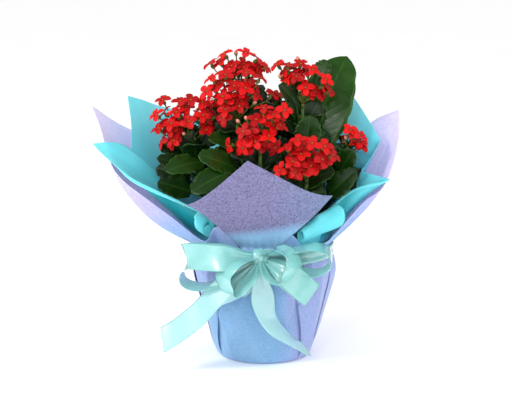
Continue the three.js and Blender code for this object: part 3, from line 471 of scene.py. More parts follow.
def leaf_material():
    """Fleshy, glossy leaf: dark green, lighter at its margin and midrib."""
    m = Material("kalanchoe leaf", 0.3, Specular_IOR_Level=0.32)
    from_rib = m.absolute(m.value("across"))
    blotch = m.noise(120, 3.0)
    tone = m.sum_of(m.value("tone"), 0.75, blotch, 0.25)
    base = m.ramp(tone, (0.1, "081A02"), (0.45, "0E2A05"), (0.7, "1C4208"), (0.95, "2E580C"))
    base = m.mix(m.range(from_rib, 0.9, 0.99, 0.0, 0.7), base, colour("44761E"))
    m.colour(m.mix(m.range(from_rib, 0.07, 0.02, 0.0, 0.4), base, colour("386420")))
    slant = m.sum_of(m.value("along"), 34.0, from_rib, -11.0)
    veins = m.math("POWER", m.absolute(m.math("SINE", slant)), 6.0)
    m.bump(m.sum_of(veins, -0.6, m.noise(1400, 2.0), 0.3), 0.18, 0.5)
    m.join(m.range(blotch, 0.3, 0.7, 0.24, 0.4), m.shader.inputs["Roughness"])
    return m.material


def petal_material():
    """Red petals, yellow-green at the throat, with fine lengthwise lines in relief and painted shade darkening
    them towards their feet.
    """
    depth = {"Subsurface_Weight": 0.04, "Subsurface_Radius": (0.003, 0.0003, 0.0003)}
    m = Material("kalanchoe petal", 0.55, Specular_IOR_Level=0.2, **depth)
    reach = m.value("reach")
    tone = m.sum_of(m.value("tone"), 0.6, m.noise(420, 3.0), 0.4)
    base = m.ramp(tone, (0.2, "9C0206"), (0.5, "C00408"), (0.8, "D60A0A"))
    # Painted shade: the petals darken towards their feet, deep in the flower
    base = m.mix(m.range(reach, 0.3, 0.06), base, colour("8E0A0A"))
    m.colour(m.mix(m.range(reach, 0.04, 0.01), base, colour("A8701C")))
    lines = m.math("SINE", m.times(m.value("across"), 11.0))
    m.bump(m.add(lines, m.noise(1600, 2.0)), 0.06, 0.4)
    return m.material


def calyx_material():
    m = Material("calyx and flower stalk", 0.5)
    green = m.ramp(m.noise(300, 2.0), (0.3, "3E4E16"), (0.6, "5E6E24"), (0.8, "7C7430"))
    m.colour(m.mix(m.range(m.value("blush"), 0.3, 1.0), green, colour("D88070")))
    m.bump(m.noise(900, 2.0), 0.1, 0.3)
    return m.material


# The outer sheet. Its rim: azimuth, radius, height, and the shares at which the section below it is pulled
OUTER_RIM = runs(
    [
        (-180, 169, 258, 0.8, 0.34), (-176, 161, 237, 0.77, 0.335), (-170, 156, 218, 0.75, 0.325),
        (-163, 152, 203.5, 0.75, 0.31), (-158, 143.5, 191, 0.76, 0.29), (-152, 126.5, 175, 0.76, 0.27),
        (-146, 109.5, 159.5, 0.76, 0.26), (-140, 97, 146.5, 0.75, 0.25), (-134, 88.5, 137.5, 0.72, 0.29),
        (-129, 86.3, 136.5, 0.7, 0.3), (-126, 82, 148, 0.6, 0.35), (-120, 78, 148, 0.55, 0.4),
        (-115, 74.5, 140, 0.5, 0.4), (-112, 71, 132, 0.5, 0.5), (-107, 68.4, 126.5, 0.5, 0.5),
        (-80, 68.6, 130, 0.5, 0.5), (-76, 70, 137, 0.5, 0.5), (-70, 72, 142, 0.55, 0.45),
        (-66, 72.8, 139, 0.6, 0.4), (-62, 73.6, 132.5, 0.65, 0.4), (-50, 74, 128.5, 0.6, 0.4),
        (-40, 76.5, 131, 0.6, 0.4), (-36, 80, 135, 0.57, 0.42), (-33, 85, 141.5, 0.55, 0.42),
        (-28, 95, 156, 0.55, 0.44), (-24, 107, 171, 0.55, 0.44), (-20, 121, 182, 0.56, 0.43),
        (-12, 129, 206, 0.57, 0.43), (-4, 132, 222, 0.61, 0.41), (2, 135, 232, 0.66, 0.38),
        (10, 138, 252, 0.72, 0.4), (20, 117, 237, 0.7, 0.4), (30, 118, 215, 0.7, 0.4),
        (50, 125, 195, 0.6, 0.4), (70, 150, 230, 0.6, 0.45), (90, 160, 255, 0.6, 0.45),
        (110, 142, 232, 0.6, 0.45), (130, 130, 200, 0.6, 0.4), (160, 150, 230, 0.7, 0.4),
        (170, 159, 243, 0.74, 0.38), (180, 169, 258, 0.8, 0.34),
    ],
    corners=[10],
)
BODY_PROFILE = [
    (0, 7.3), (24, 7.3), (43.5, 7.3), (46, 8), (47.8, 10.5), (50.6, 21), (56.6, 43), (62.4, 64), (67.2, 83),
    (69.6, 95), (70.2, 101), (69.4, 106), (68.3, 110), (68.2, 117), (68.2, 124),
]
# Pleats laid over each other round the pot: azimuth and height at the foot and at the top of the fold's edge,
# how far the upper layer stands out, how wide the layers overlap in degrees, and the side the upper layer lies on
POT_FOLDS = [
    (-152, 9, -130, 76, 2.4, 12, -1),
    (-44, 9, -63, 78, 2.4, 13, 1),
    (-19, 16, -24, 104, 1.2, 10, 1),
    (-166, 11, -174, 100, 1.2, 12, -1),
    (20, 9, 8, 104, 1.3, 14, 1),
    (66, 9, 60, 90, 1.2, 12, -1),
    (104, 9, 116, 104, 1.4, 14, 1),
    (150, 9, 142, 96, 1.2, 12, -1),
]
# Soft creases in the cloth: azimuth and height at one end and at the other, half width in degrees and height
POT_CREASES = [
    (-119, 78, -92, 14, 7, 2.9),
    (-106, 100, -114, 40, 5, 1.8),
    (-142, 98, -129, 16, 5, 2.4),
    (-76, 70, -58, 12, 6, 2.4),
    (-68, 104, -80, 48, 5, 1.8),
    (-38, 98, -31, 16, 6, 2.4),
    (-8, 96, 6, 22, 6, 2.2),
    (44, 98, 34, 20, 7, 2.4),
    (86, 100, 78, 24, 6, 2.2),
    (128, 98, 136, 26, 7, 2.4),
    (172, 98, 160, 24, 7, 2.2),
]
# Half of the cloth that turns back on itself at a pleat, in degrees
TURN_SPAN = 6
GATHERS = 26
GATHER_DEPTH = 2.6


def rising(neck, radius, height, out, up, share):
    """A place on the section of a sheet that rises out of the neck, pulled towards a handle between its ends."""
    neck, end = np.array(neck, dtype=float), vec(radius, height)
    handle = neck + (end - neck) * vec(out, up)
    return (1 - share) ** 2 * neck + 2 * share * (1 - share) * handle + share**2 * end


def arc_between(azimuth, other):
    return (azimuth - other + 180) % 360 - 180


def gather(azimuth):
    """The ripple that the ribbon draws into the cloth: uneven pleats, between 0 and 1."""
    phase = GATHERS * math.radians(azimuth) + 2.2 * rough(azimuth / 9, 0, 0, 1, 3.1)
    size = 0.65 + 0.5 * rough(azimuth / 14, 5, 0, 1, 1.7)
    return size * (0.5 + 0.5 * math.sin(phase)) ** 1.6


def pleat_at(fold, s, z):
    """Where a pleat moves the cloth at a place: sideways in degrees, so that it doubles back, and outwards."""
    foot_azimuth, foot, top_azimuth, top, depth, overlap, side = fold
    line = lerp(foot_azimuth, top_azimuth, clamp((z - foot) / (top - foot), 0, 1.1))
    fade = smoothstep(z, foot - 2, foot + 14) * (1 - smoothstep(z, top - 12, top + 6))
    throw = (overlap + TURN_SPAN) / 2 * fade
    middle = line + side * (throw - TURN_SPAN / 2)
    v = -side * arc_between(s, middle) / TURN_SPAN
    sideways = side * throw * math.sin(math.pi * v) if abs(v) < 1 else 0.0
    behind = max(-v - 1, 0) * TURN_SPAN
    layer = (1 - smoothstep(v, -0.5, 0.5)) * math.exp(-behind / 13)
    return sideways, depth * fade * layer


def crease_at(azimuth, z):
    """How far the soft creases lift the cloth at a place."""
    lifted = 0.0
    for first, top, last, foot, half, height in POT_CREASES:
        share = (top - z) / (top - foot)
        if not -0.2 < share < 1.2:
            continue
        apart = arc_between(azimuth, lerp(first, last, share)) / half
        fade = smoothstep(share, -0.2, 0.15) * (1 - smoothstep(share, 0.8, 1.2))
        lifted += height * fade * math.exp(-abs(apart) ** 1.4)
    return lifted


def sheet_columns(count):
    """Where the columns of the cloth stand, closer together where a pleat turns."""
    fine = np.linspace(-180, 180, 7201)
    density = np.ones_like(fine)
    for first, _, last, *_ in POT_FOLDS:
        apart = np.abs((fine - (first + last) / 2 + 180) % 360 - 180)
        density += 2.2 * (apart < abs(last - first) / 2 + TURN_SPAN + 3)
    total = np.concatenate([[0], np.cumsum((density[1:] + density[:-1]) / 2)])
    return np.interp(np.arange(count) / count * total[-1], total, fine)


def outer_sheet(material):
    columns, flare_rows = 560, 26
    half_body = np.array(BODY_PROFILE, dtype=float)
    lengths = np.concatenate([[0], np.cumsum(np.linalg.norm(np.diff(half_body, axis=0), axis=1))])
    places = np.concatenate([[4, 16, 30, 40], np.linspace(43, lengths[-1], 52)])
    profile = np.stack([np.interp(places, lengths, half_body[:, k]) for k in (0, 1)], axis=1)
    body_rows = len(profile)
    rows = body_rows + flare_rows
    grid = np.zeros((columns, rows, 3))
    ripples = np.zeros((columns, rows))
    for i, azimuth in enumerate(sheet_columns(columns)):
        pleat = gather(azimuth)
        for j, (radius, z) in enumerate(profile):
            near = math.exp(-max(BAND_BOTTOM - z, 0) / 15) * smoothstep(BAND_BOTTOM + 1.5 - z, 0, 6)
            above = smoothstep(z, BAND_TOP - 1.5, BAND_TOP + 2)
            x, y, _ = polar(azimuth, radius, z)
            offset = GATHER_DEPTH * (near + above * 0.35) * pleat
            offset += 0.9 * rough(x, y, z * 0.6, 26, 2.0) * smoothstep(z, BASE + 2, BASE + 30)
            offset += crease_at(azimuth, z)
            place = azimuth
            for fold in POT_FOLDS:
                sideways, outwards = pleat_at(fold, azimuth, z)
                place += sideways
                offset += outwards
            grid[i, j] = polar(place, radius + max(offset, -0.2) * smoothstep(z, BASE + 0.5, BASE + 4), z)
        rim = between(OUTER_RIM, azimuth)
        reach = math.hypot(rim[0] - NECK_RADIUS, rim[1] - NECK_HEIGHT)
        for j in range(body_rows, rows):
            share = (j - body_rows + 1) / flare_rows
            grid[i, j] = polar(azimuth, *rising(profile[-1], *rim, share))
            drape = 2.2 * rough(*grid[i, j], 52, 4.0) * smoothstep(reach * share, 20, 90)
            ripples[i, j] = 1.6 * pleat * math.exp(-reach * share / 30) + max(drape, 0)
    grid += grid_normals(grid, ring=True) * ripples[:, :, None]
    centre = columns * rows
    shape = Shape()
    shape.add(grid, grid_faces(columns, rows, ring=True))
    shape.add([vec(0, 0, BASE + 0.3)], [])
    shape.faces.extend([(centre, (i + 1) % columns * rows, i * rows) for i in range(columns)])
    return shape.piece("outer_sheet_cloth", material, "outer_sheet", ["outer_sheet"], CLOTH)


# The turquoise sheets: azimuth, the radius and height of the crest, the shares at which the section below it is
# pulled, and the radius and sweep of the roll that turns outwards beyond it
LEAST_SWEEP = 8
PLAIN_CREST = (0.42, 0.3, 8, 0)


def crests(keys, corners):
    """Keys of a crest in runs, with the plain values where a key doesn't give its own."""
    return runs([(*key, *PLAIN_CREST[len(key) - 3 :]) for key in keys], corners)


LEFT_CRESTS = crests(
    [
        (100, 104, 205), (118, 114, 226), (135, 122, 242), (150, 128, 251.5), (160, 132, 258.5),
        (168, 140, 264), (174, 133, 236), (180, 131, 214, 0.42, 0.34), (184, 139, 221, 0.45, 0.75),
        (188, 151, 224, 0.42, 0.72),
        (192, 168, 224.5, 0.42, 0.7), (192, 168, 224.5, 0.42, 0.7, 6, 0), (196, 162, 217, 0.42, 0.6, 6, 0),
        (200, 154, 209, 0.42, 0.5, 4, 10), (205, 139, 195, 0.42, 0.42, 4, 75),
        (211.5, 119.5, 182.5, 0.42, 0.34, 6.5, 80), (219, 100, 170.5, 0.42, 0.34, 7, 75),
        (226.4, 84.5, 160, 0.42, 0.34, 7.5, 70), (227.6, 82, 157.5, 0.42, 0.32, 8.5, 300),
        (230.6, 74.4, 149, 0.42, 0.3, 8, 305),
    ],
    corners=[168, 180, 192, 226.4],
)
RIGHT_CRESTS = crests(
    [
        (-61, 65.5, 138, 0.4, 0.4, 6, 305), (-50, 69, 150, 0.42, 0.3, 9.2, 305),
        (-38.8, 78.5, 160.5, 0.42, 0.3, 10.5, 300), (-37.6, 79.5, 162.5, 0.42, 0.32, 9, 60),
        (-33, 86.5, 171, 0.42, 0.34, 8, 65), (-28, 95, 178.5, 0.42, 0.38, 8, 75),
        (-24, 107, 184, 0.42, 0.45, 7, 85), (-21, 119, 188, 0.42, 0.57, 4.5, 70),
        (-19, 128, 191, 0.42, 0.62, 4, 0), (-15, 112, 192, 0.45, 0.52), (-9, 96, 194, 0.42, 0.38),
        (-3, 106, 207, 0.42, 0.36), (4, 116, 222, 0.42, 0.34), (12, 109, 238), (25, 98, 265), (40, 96, 280),
        (55, 98, 262), (70, 102, 236), (84, 104, 212),
    ],
    corners=[-37.6, -19, -9, 4],
)
NECK_ROWS = 4
RISE_STEPS = 30
ROLL_STEPS = 12  # steps round a short roll
TUBE_STEPS = 18  # steps round the rest of a full tube
SHORT_SWEEP = 130  # where the rows of a short roll end, in degrees
TUBE_SWEEP = 290  # only a roll that turns further than this has the rows beyond
PAPER_STEP = 0.8  # widest step between two columns, in degrees


def standing_column(azimuth, values):
    """One column of a turquoise sheet: from beside the pot up to its crest, then round its roll."""
    radius, height, out, up, roll, sweep = values
    foot, neck, crest = vec(64.4, 86), vec(66.7, NECK_HEIGHT + 3), vec(radius, height)
    handle = neck + (crest - neck) * vec(out, up)
    heading = unit(crest - handle)
    outwards = vec(heading[1], -heading[0])
    places = [lerp(foot, neck, t) for t in np.linspace(0, 1, NECK_ROWS + 1)[:-1]]
    places += [rising(neck, radius, height, out, up, t) for t in np.linspace(0, 1, RISE_STEPS + 1)]
    short = max(min(sweep, SHORT_SWEEP), LEAST_SWEEP)
    rest = max(sweep - SHORT_SWEEP, 0)
    turns = [short * k / ROLL_STEPS for k in range(1, ROLL_STEPS + 1)]
    turns += [short + rest * k / TUBE_STEPS for k in range(1, TUBE_STEPS + 1)]
    for turned in np.radians(turns):
        places.append(crest + heading * roll * math.sin(turned) + outwards * roll * (1 - math.cos(turned)))
    return [polar(azimuth, r, z) for r, z in places]


def shadow_of(azimuth, row, ring):
    """How much painted shade a place gets in a tube's mouth, from 0 to 1: beside the ring's edge and below the
    rolled edge.
    """
    edge, away = ring
    beside = (azimuth - edge) / away
    if not 0 <= beside <= 1:
        return 0.0
    top = RISE_STEPS + NECK_ROWS
    below = (1 - smoothstep(row, top - 1, top + 4)) * smoothstep(row, 8, 14)
    return (1 - smoothstep(beside, 0.55, 1.0)) * below


def turquoise_sheet(name, crest, ring, material):
    azimuths = azimuths_of(crest, PAPER_STEP)
    values = [between(crest, a) for a in azimuths]
    grid = np.array([standing_column(a, v) for a, v in zip(azimuths, values)])
    columns, rows, _ = grid.shape

    def buckle(i, j):
        x, y, z = grid[i, j]
        return smoothstep(z, 130, 165) * (1.2 * rough(x, y, z, 60, 7.0) + 0.3 * rough(x, y, z * 0.5, 17, 9.0))

    grid = grid + grid_normals(grid) * grid_of(columns, rows, buckle)[:, :, None]
    # Painted shade in the mouths of the tubes, carried on the points to the paper's colour
    painted_mouth_shade = grid_of(columns, rows, lambda i, j: shadow_of(azimuths[i], j, ring)).ravel()
    closed = [v[-1] > TUBE_SWEEP for v in values]
    faces = [
        face
        for face in grid_faces(columns, rows)
        if face[0] % rows < rows - TUBE_STEPS - 1 or all(closed[corner // rows] for corner in face)
    ]
    used = sorted({corner for face in faces for corner in face})
    number = {corner: k for k, corner in enumerate(used)}
    shape = Shape()
    shape.add(grid.reshape(-1, 3)[used], [tuple(number[c] for c in face) for face in faces], painted_mouth_shade=painted_mouth_shade[used])
    return shape.piece(name + "_paper", material, "turquoise_sheet", [name], CLOTH)


# The front sheet
FRONT_UPRIGHT = 6
FRONT_BEND = 0.16
FRONT_LEAN = (35, 62)
FRONT_RADIUS = NECK_RADIUS + 3 * GAP + SHEET / 2
FRONT_AZIMUTH = -100
FRONT_CORNERS = ((0, -14), (-63, 73), (88, 60), (6, 112))  # its foot, left and right corner and peak
LOWER_HOLLOW = 22
UPPER_HOLLOW = 12
EVEN_PEAK = 4
SKEW_PEAK = 27 / 4


def front_sheet(material):
    steps = 84
    foot, left, right, peak = np.array(FRONT_CORNERS, dtype=float)
    turn = math.radians(FRONT_BEND)

    def place(i, j):
        p, q = 1 - i / steps, j / steps
        across, up = foot * (1 - p) * (1 - q) + left * p * (1 - q) + right * q * (1 - p) + peak * p * q
        up += LOWER_HOLLOW * SKEW_PEAK * p**2 * (1 - p) * (1 - q) ** 3
        up -= UPPER_HOLLOW * EVEN_PEAK * p * (1 - p) * q**2
        start = math.radians(lerp(*FRONT_LEAN, smoothstep(across, -50, 50)))
        end = start + turn * max(up - FRONT_UPRIGHT, 0)
        out = FRONT_RADIUS + (math.sin(end) - math.sin(start)) / turn
        leaning = NECK_HEIGHT + FRONT_UPRIGHT + (math.cos(start) - math.cos(end)) / turn
        azimuth = FRONT_AZIMUTH + math.degrees(across / out)
        buckle = 1.4 * rough(across, up, 0, 40, 5.0) + 0.4 * rough(across, up * 2, 0, 16, 6.0)
        out += smoothstep(up, 8, 60) * buckle
        pinch = math.exp(-max(up, 0) / 22) * 0.9 * math.sin(across * 0.9)
        height = NECK_HEIGHT + up if up < FRONT_UPRIGHT else leaning
        return polar(azimuth, out + (pinch if up > 2 else 0), height)

    shape = Shape()
    shape.add(grid_of(steps + 1, steps + 1, place), grid_faces(steps + 1, steps + 1))
    return shape.piece("front_sheet_cloth", material, "front_sheet", ["front_sheet"], CLOTH)


# The ribbon
KNOT = vec(-4.5, -78.8, 122)
KNOT_SIZE = vec(9, 7, 9.5)
PINCHED = 3.6
TAIL_OPENING = 0.5
# Across the ribbon, the way it leaves the knot, its middle line and the way it comes back
LOOPS = [
    (
        (-0.5, 0.24, 0.87),
        (-1, -0.55, 0.3),
        [(-38, -93, 124.5), (-60, -92, 125.5), (-74, -87, 125.5), (-60, -82, 124.5), (-38, -81, 123.5)],
        (-1, 0.25, 0.3),
    ),
    (
        (0.15, 1, 0.1),
        (-1, 0.1, -0.45),
        [(-40, -74, 113), (-63, -71, 115.5), (-78, -70, 108), (-77.5, -70, 98), (-64, -71, 92), (-44, -76, 96)],
        (-0.75, 0.1, -0.9),
    ),
    (
        (0.6, -0.8, 0),
        (-0.75, -1, -0.1),
        [(-29, -96, 120), (-39, -98, 108), (-31, -98, 93), (-20, -96, 100)],
        (-0.2, -1, -0.6),
    ),
    (
        (0.6, 0.75, -0.2),
        (0.35, -1, 0.7),
        [(9, -98, 134), (22, -95, 128.5), (27.5, -93, 115), (18, -94, 102), (4, -93, 108)],
        (0.25, -1, -0.25),
    ),
    (
        (0.1, 0.97, 0.1),
        (1, 0, 0.6),
        [(30, -80, 130), (48, -80, 133), (61, -77, 126.5), (63.5, -75, 116), (54, -76, 107.5), (36, -77, 109)],
        (1, 0, -0.05),
    ),
    (
        (0.55, 0.26, 0.85),
        (1, -0.6, -0.5),
        [(21, -90, 109), (38.5, -90, 93.5), (45, -87, 87.5), (37, -84, 93.5), (18, -82, 107)],
        (0.9, -0.05, -0.75),
    ),
]
# Across the ribbon at the knot and at its end, the way it leaves the knot, its middle line and the cut's slant
TAILS = [
    (
        (-0.5, 0.6, 0.5),
        (-0.5, 0.6, 0.5),
        (-0.8, -0.35, -0.95),
        [(-32.5, -86, 101.5), (-47.5, -85, 85.5), (-62.5, -83, 68.5), (-79, -79, 53.5), (-98, -74, 40)],
        -3,
    ),
    (
        (0.9, 0, -0.4),
        (0.55, 0.8, -0.25),
        (-0.35, 0.05, -1),
        [(-15, -80, 101.5), (-22, -80, 90.5), (-30, -79, 80)],
        -8,
    ),
    (
        (1, 0, 0.1),
        (-0.05, 1, 0.1),
        (0.15, -0.3, -1),
        [
            (-5, -82, 106), (-2.8, -79, 91.5), (-0.5, -76, 77), (4.3, -73, 62),
            (11, -71, 51), (21, -69, 41.5), (32.5, -67, 33.5), (41.5, -66, 28),
        ],
        -4,
    ),
]


def inside_knot(direction):
    direction = np.array(direction, dtype=float)
    return KNOT + direction * 0.55 / np.linalg.norm(direction / KNOT_SIZE)


def ribbon_strip(shape, index, start_across, end_across, stops, slant=None):
    """A loop, or a tail with a slanting cut: gathered in pleats at the knot, it opens to its full width."""
    steps, lanes = 72, 18
    path = Curve(stops)
    points = []
    for i in range(steps + 1):
        share = i / steps
        place, tangent = path.at_length(share), path.heading(share)
        width = lerp(np.array(start_across, dtype=float), np.array(end_across, dtype=float), share)
        width = unit(width - width.dot(tangent) * tangent)
        normal = np.cross(tangent, width)
        from_knot = math.sin(math.pi * share) if slant is None else share / TAIL_OPENING
        half = lerp(PINCHED, RIBBON_WIDTH / 2, smoothstep(from_knot, 0, 0.75))
        gathered = 1 - half / (RIBBON_WIDTH / 2)
        cut = (slant or 0) * smoothstep(share, 0.8, 1.0)
        for v in np.linspace(-1, 1, lanes + 1):
            lift = 1.3 * gathered**0.9 * math.sin(2.1 * math.pi * v + index)
            lift += 0.35 * (1 - v * v) * (1 - gathered)
            lift += 0.4 * (1 - gathered) * math.sin(share * path.length / 6 + 2.4 * index + 0.5 * v)
            points.append(place + width * half * v + normal * lift + tangent * cut * v)
    along, across = strip_values(steps, lanes)
    # A tail is painted paler, as painted light
    pale = 0.0 if slant is None else 1.0
    shape.add(points, grid_faces(steps + 1, lanes + 1), across=across, along=along * path.length, pale=pale)
    return path.length


def knot(shape):
    """The knot: the ribbon's own width drawn tight into upright pleats."""
    columns, rows = 56, 36

    def direction(i, j):
        turn, tilt = 2 * math.pi * i / columns, math.pi * (j + 0.5) / rows
        ball = vec(math.sin(tilt) * math.cos(turn), math.sin(tilt) * math.sin(turn), math.cos(tilt))
        return unit(np.sign(ball) * np.abs(ball) ** 0.8)

    squared = grid_of(columns, rows, direction)
    ridges = [1 + 0.05 * math.sin(v[0] * 9 + 1.5 * rough(*(v * 10), 9, 2.0)) for v in squared.reshape(-1, 3)]
    grid = KNOT + squared * KNOT_SIZE * np.reshape(ridges, (columns, rows, 1)) * 0.98
    across = np.clip(squared[:, :, 0] * 0.8, -0.85, 0.85).ravel()
    shape.add(grid, grid_faces(columns, rows, ring=True), across=across, along=0.0)


def bow(material):
    shape = Shape()
    knot(shape)
    length = 0
    for index, (across, leaves, places, returns) in enumerate(LOOPS):
        stops = [inside_knot(leaves), *places, inside_knot(returns)]
        length += ribbon_strip(shape, index, across, across, stops)
    for index, (across, twisted, leaves, places, slant) in enumerate(TAILS, len(LOOPS)):
        length += ribbon_strip(shape, index, across, twisted, [inside_knot(leaves), *places], slant)
    return shape.piece("bow_satin", material, "ribbon", ["bow"], SATIN), length


def ribbon_band(material):
    """The ribbon drawn round the neck, bunched to half its width."""
    columns, rows = 300, 15

    def place(i, j):
        azimuth, v = 360 * i / columns, j / (rows - 1)
        from_foot = abs(arc_between(azimuth, FRONT_AZIMUTH))
        over = (SHEET + 3 * GAP) * smoothstep(34 - from_foot, 0, 14)
        z = lerp(BAND_BOTTOM, BAND_TOP, v) + 0.7 * rough(azimuth / 6, v, 0, 1, 8.0)
        crease = 0.55 * math.sin(3.2 * math.pi * v + 1.4 * rough(azimuth / 11, 0, 0, 1, 2.0))
        return polar(azimuth, BAND_RADIUS + over + 0.4 + crease, z)

    shape = Shape()
    across = np.tile(np.linspace(-0.8, 0.8, rows), columns)
    along = np.repeat(np.linspace(0, 2 * math.pi * BAND_RADIUS, columns), rows)
    grid = grid_of(columns, rows, place)
    shape.add(grid, grid_faces(columns, rows, ring=True), across=across, along=along)
    return shape.piece("ribbon_band_satin", material, "ribbon", ["ribbon_band"], SATIN)


# The flower heads
VIEW_RISE = math.radians(10)
HEADS = [
    {
        "name": "flower_head_left",
        "root": (-75, -6, 220),
        "middle": (-77, -14, 238),
        "size": (34, 28, 20),
        "florets": [
            (-99, 259), (-105, 244), (-103, 231), (-90, 235), (-99, 218), (-88, 219), (-81, 257),
            (-85, 246), (-71, 258), (-73, 237), (-60, 256), (-59, 243), (-47, 243), (-56, 229),
        ],
        "buds": [(-78, 226), (-92, 247)],
    },
    {
        "name": "flower_head_top",
        "root": (-24, 14, 272),
        "middle": (-26, 14, 292),
        "size": (36, 22, 16),
        "florets": [(-53, 296), (-39, 305), (-32, 293), (-18, 306), (-20, 292), (-6, 300), (-8, 287), (2, 292)],
        "buds": [(-28, 308)],
    },
    {
        "name": "flower_head_middle",
        "root": (-26, -14, 247),
        "middle": (-25, -24, 264),
        "size": (42, 30, 18),
        "florets": [
            (-55, 265), (-50, 278), (-40, 260), (-37, 281), (-29, 270), (-18, 268), (-17, 283),
            (-4, 278), (-24, 251), (-39, 240), (8, 263),
        ],
        "buds": [(-8, 255)],
    },
    {
        "name": "flower_head_upper_right",
        "root": (38, -2, 262),
        "middle": (40, -8, 281),
        "size": (34, 24, 16),
        "florets": [
            (12, 293), (23, 292), (35, 293), (47, 287), (31, 280), (40, 270), (50, 266), (60, 278), (64, 268),
            (20, 276),
        ],
        "buds": [(32, 300), (14, 282)],
    },
    {
        "name": "flower_head_centre",
        "root": (-4, -50, 222),
        "middle": (-6, -60, 230),
        "size": (38, 28, 16),
        "florets": [
            (-1, 247), (-8, 236), (8, 241), (19, 245), (15, 231), (-20, 225), (-34, 212), (-21, 210),
            (-9, 216), (4, 221), (10, 210),
        ],
        "buds": [(-18, 239), (-26, 236)],
    },
    {
        "name": "flower_head_lower_right",
        "root": (40, -60, 196),
        "middle": (38, -72, 205),
        "size": (34, 26, 15),
        "florets": [
            (31, 217), (20, 210), (44, 214), (34, 204), (26, 197), (14, 189), (29, 187), (43, 193),
            (54, 199), (56, 211), (64, 203),
        ],
        "buds": [],
    },
    {
        "name": "flower_head_far_right",
        "root": (82, 0, 208),
        "middle": (88, -4, 222),
        "size": (16, 12, 9),
        "florets": [(85, 230), (94, 225), (96, 215)],
        "buds": [(80, 224), (88, 209)],
    },
    {"name": "flower_head_back_left", "root": (-44, 50, 236), "toward": (-0.35, 0.55, 1)},
    {"name": "flower_head_back_right", "root": (18, 58, 240), "toward": (0.2, 0.6, 1)},
]
BACK_FLORETS = 8
BACK_REACH = 27
GOLDEN_TURN = 137.5  # the turn between one floret and the next, in degrees
CALYX_LENGTH = 6.5
PETAL_BREADTH = 0.36  # half a petal's width as a share of its length
PETAL_POINT = 0.3
FACING_SPREAD = 0.6
PETAL_REACH = 1.12  # a petal's length as a share of the plain solid's


def height_of(seen, y):
    return (seen - y * math.sin(VIEW_RISE)) / math.cos(VIEW_RISE)


def front_place(head, seen_place):
    x, seen = seen_place
    mx, my, mseen = head["middle"]
    a, b, c = head["size"]
    inside = 1 - ((x - mx) / a) ** 2 - ((seen - mseen) / b) ** 2
    y = my - c * math.sqrt(max(inside, 0))
    return vec(x, y, height_of(seen, y))


def dome_places(root, toward, count, reach, draw):
    axis = unit(np.array(toward, dtype=float))
    right = unit(np.cross(vec(0, 1, 0), axis))
    ahead = np.cross(axis, right)
    places = []
    for k in range(count):
        turn = math.radians(GOLDEN_TURN * k + 12 * draw())
        lean = 0.95 * math.sqrt((k + 0.5) / count)
        places.append(
            root
            + axis * reach * math.cos(lean)
            + right * reach * math.sin(lean) * math.cos(turn)
            + ahead * reach * math.sin(lean) * math.sin(turn)
        )
    return places


def petal(shape, centre, out, side, ahead, radius, tone, draw):
    """One petal: broad and oval with a short point, cupped across and bent back at its tip."""
    steps, lanes = 10, 6
    points = []
    droop = 0.8 + 1.6 * draw()
    twist = 0.3 * (draw() - 0.5)
    lift = 0.6 + 0.7 * draw()
    for i in range(steps + 1):
        s = i / steps
        width = PETAL_BREADTH * radius * math.sin(math.pi * (0.08 + 0.86 * s**1.1)) ** 0.8
        if i == steps:
            width = PETAL_POINT
        rise = lift * math.sin(math.pi * 0.55 * s) - droop * s**3
        spine = centre + ahead * (0.4 + (radius - 0.4) * s)
        for v in np.linspace(-1, 1, lanes + 1):
            cup = 0.14 * width * v * v + twist * width * v
            crease = -0.25 * math.exp(-((v / 0.25) ** 2)) * math.sin(math.pi * s)
            points.append(spine + side * width * v + out * (rise + cup + crease))
    reach, across = strip_values(steps, lanes)
    shape.add(points, grid_faces(steps + 1, lanes + 1), reach=reach, across=across, tone=tone)


def bloom(petals, stalks, place, out, spin, radius, draw):
    """Four petals round a small throat, over a swollen tube with four sepals."""
    right = unit(np.cross(UPWARD, out)) if abs(out[2]) < 0.9 else vec(1, 0, 0)
    ahead = np.cross(out, right)
    foot = place - out * CALYX_LENGTH
    tone = draw()
    for k in range(4):
        turn = math.radians(spin + 90 * k + 8 * (draw() - 0.5))
        heading = right * math.cos(turn) + ahead * math.sin(turn)
        long = radius * PETAL_REACH * (0.94 + 0.1 * draw())
        own_tone = clamp(tone + 0.3 * (draw() - 0.5), 0, 1)
        petal(petals, place - out * 0.5, out, np.cross(out, heading), heading, long, own_tone, draw)
        sepal = [foot + heading * 0.5, place - out * 4.6 + heading * 1.35, place - out * 2.6 + heading * 1.9]
        stalks.add(*tube_patch(sepal, [0.7, 0.75, 0.2], 5), blush=0.1)
    throat = [place - out * d for d in (1.8, 0.5, 0.15)]
    petals.add(*tube_patch(throat, [0.7, 0.6, 0.3], 8), reach=0.0, across=0.0, tone=tone)
    body = [place - out * d for d in (0.5, 2.0, 4.2, 5.8, CALYX_LENGTH)]
    stalks.add(*tube_patch(body, [0.95, 1.15, 1.6, 1.3, 0.7], 8), blush=[0.35] * 8 + [0.2] * 8 + [0.0] * 24)
    return foot


def under_places(places, root, draw):
    """Places a little below and between the florets of a head, for the ones that fill it."""
    found = []
    for k, place in enumerate(places):
        near = sorted(places, key=lambda other: np.linalg.norm(other - place))
        other = near[1 + int(2 * draw()) % max(len(near) - 1, 1)]
        middle = lerp(place, other, 0.5)
        found.append(root + (middle - root) * (0.78 + 0.1 * draw()))
    return found


def closed_bud(stalks, place, out):
    body = [place - out * d for d in (6.2, 5.0, 3.4, 1.6, 0.4, -0.4)]
    blush = [0.0] * 12 + [0.5] * 6 + [0.9] * 18
    stalks.add(*tube_patch(body, [0.6, 1.3, 1.9, 1.8, 1.1, 0.3], 6), blush=blush)
    return place - out * 6.2


def bract(leaves, base, direction, length, draw):
    foot, tip = base + direction * 1.5, base + direction * length
    grow_leaf(leaves, base, foot, tip, length * 0.42, UPWARD, 0.1, 3, 0.35 + 0.3 * draw(), 12, 6)


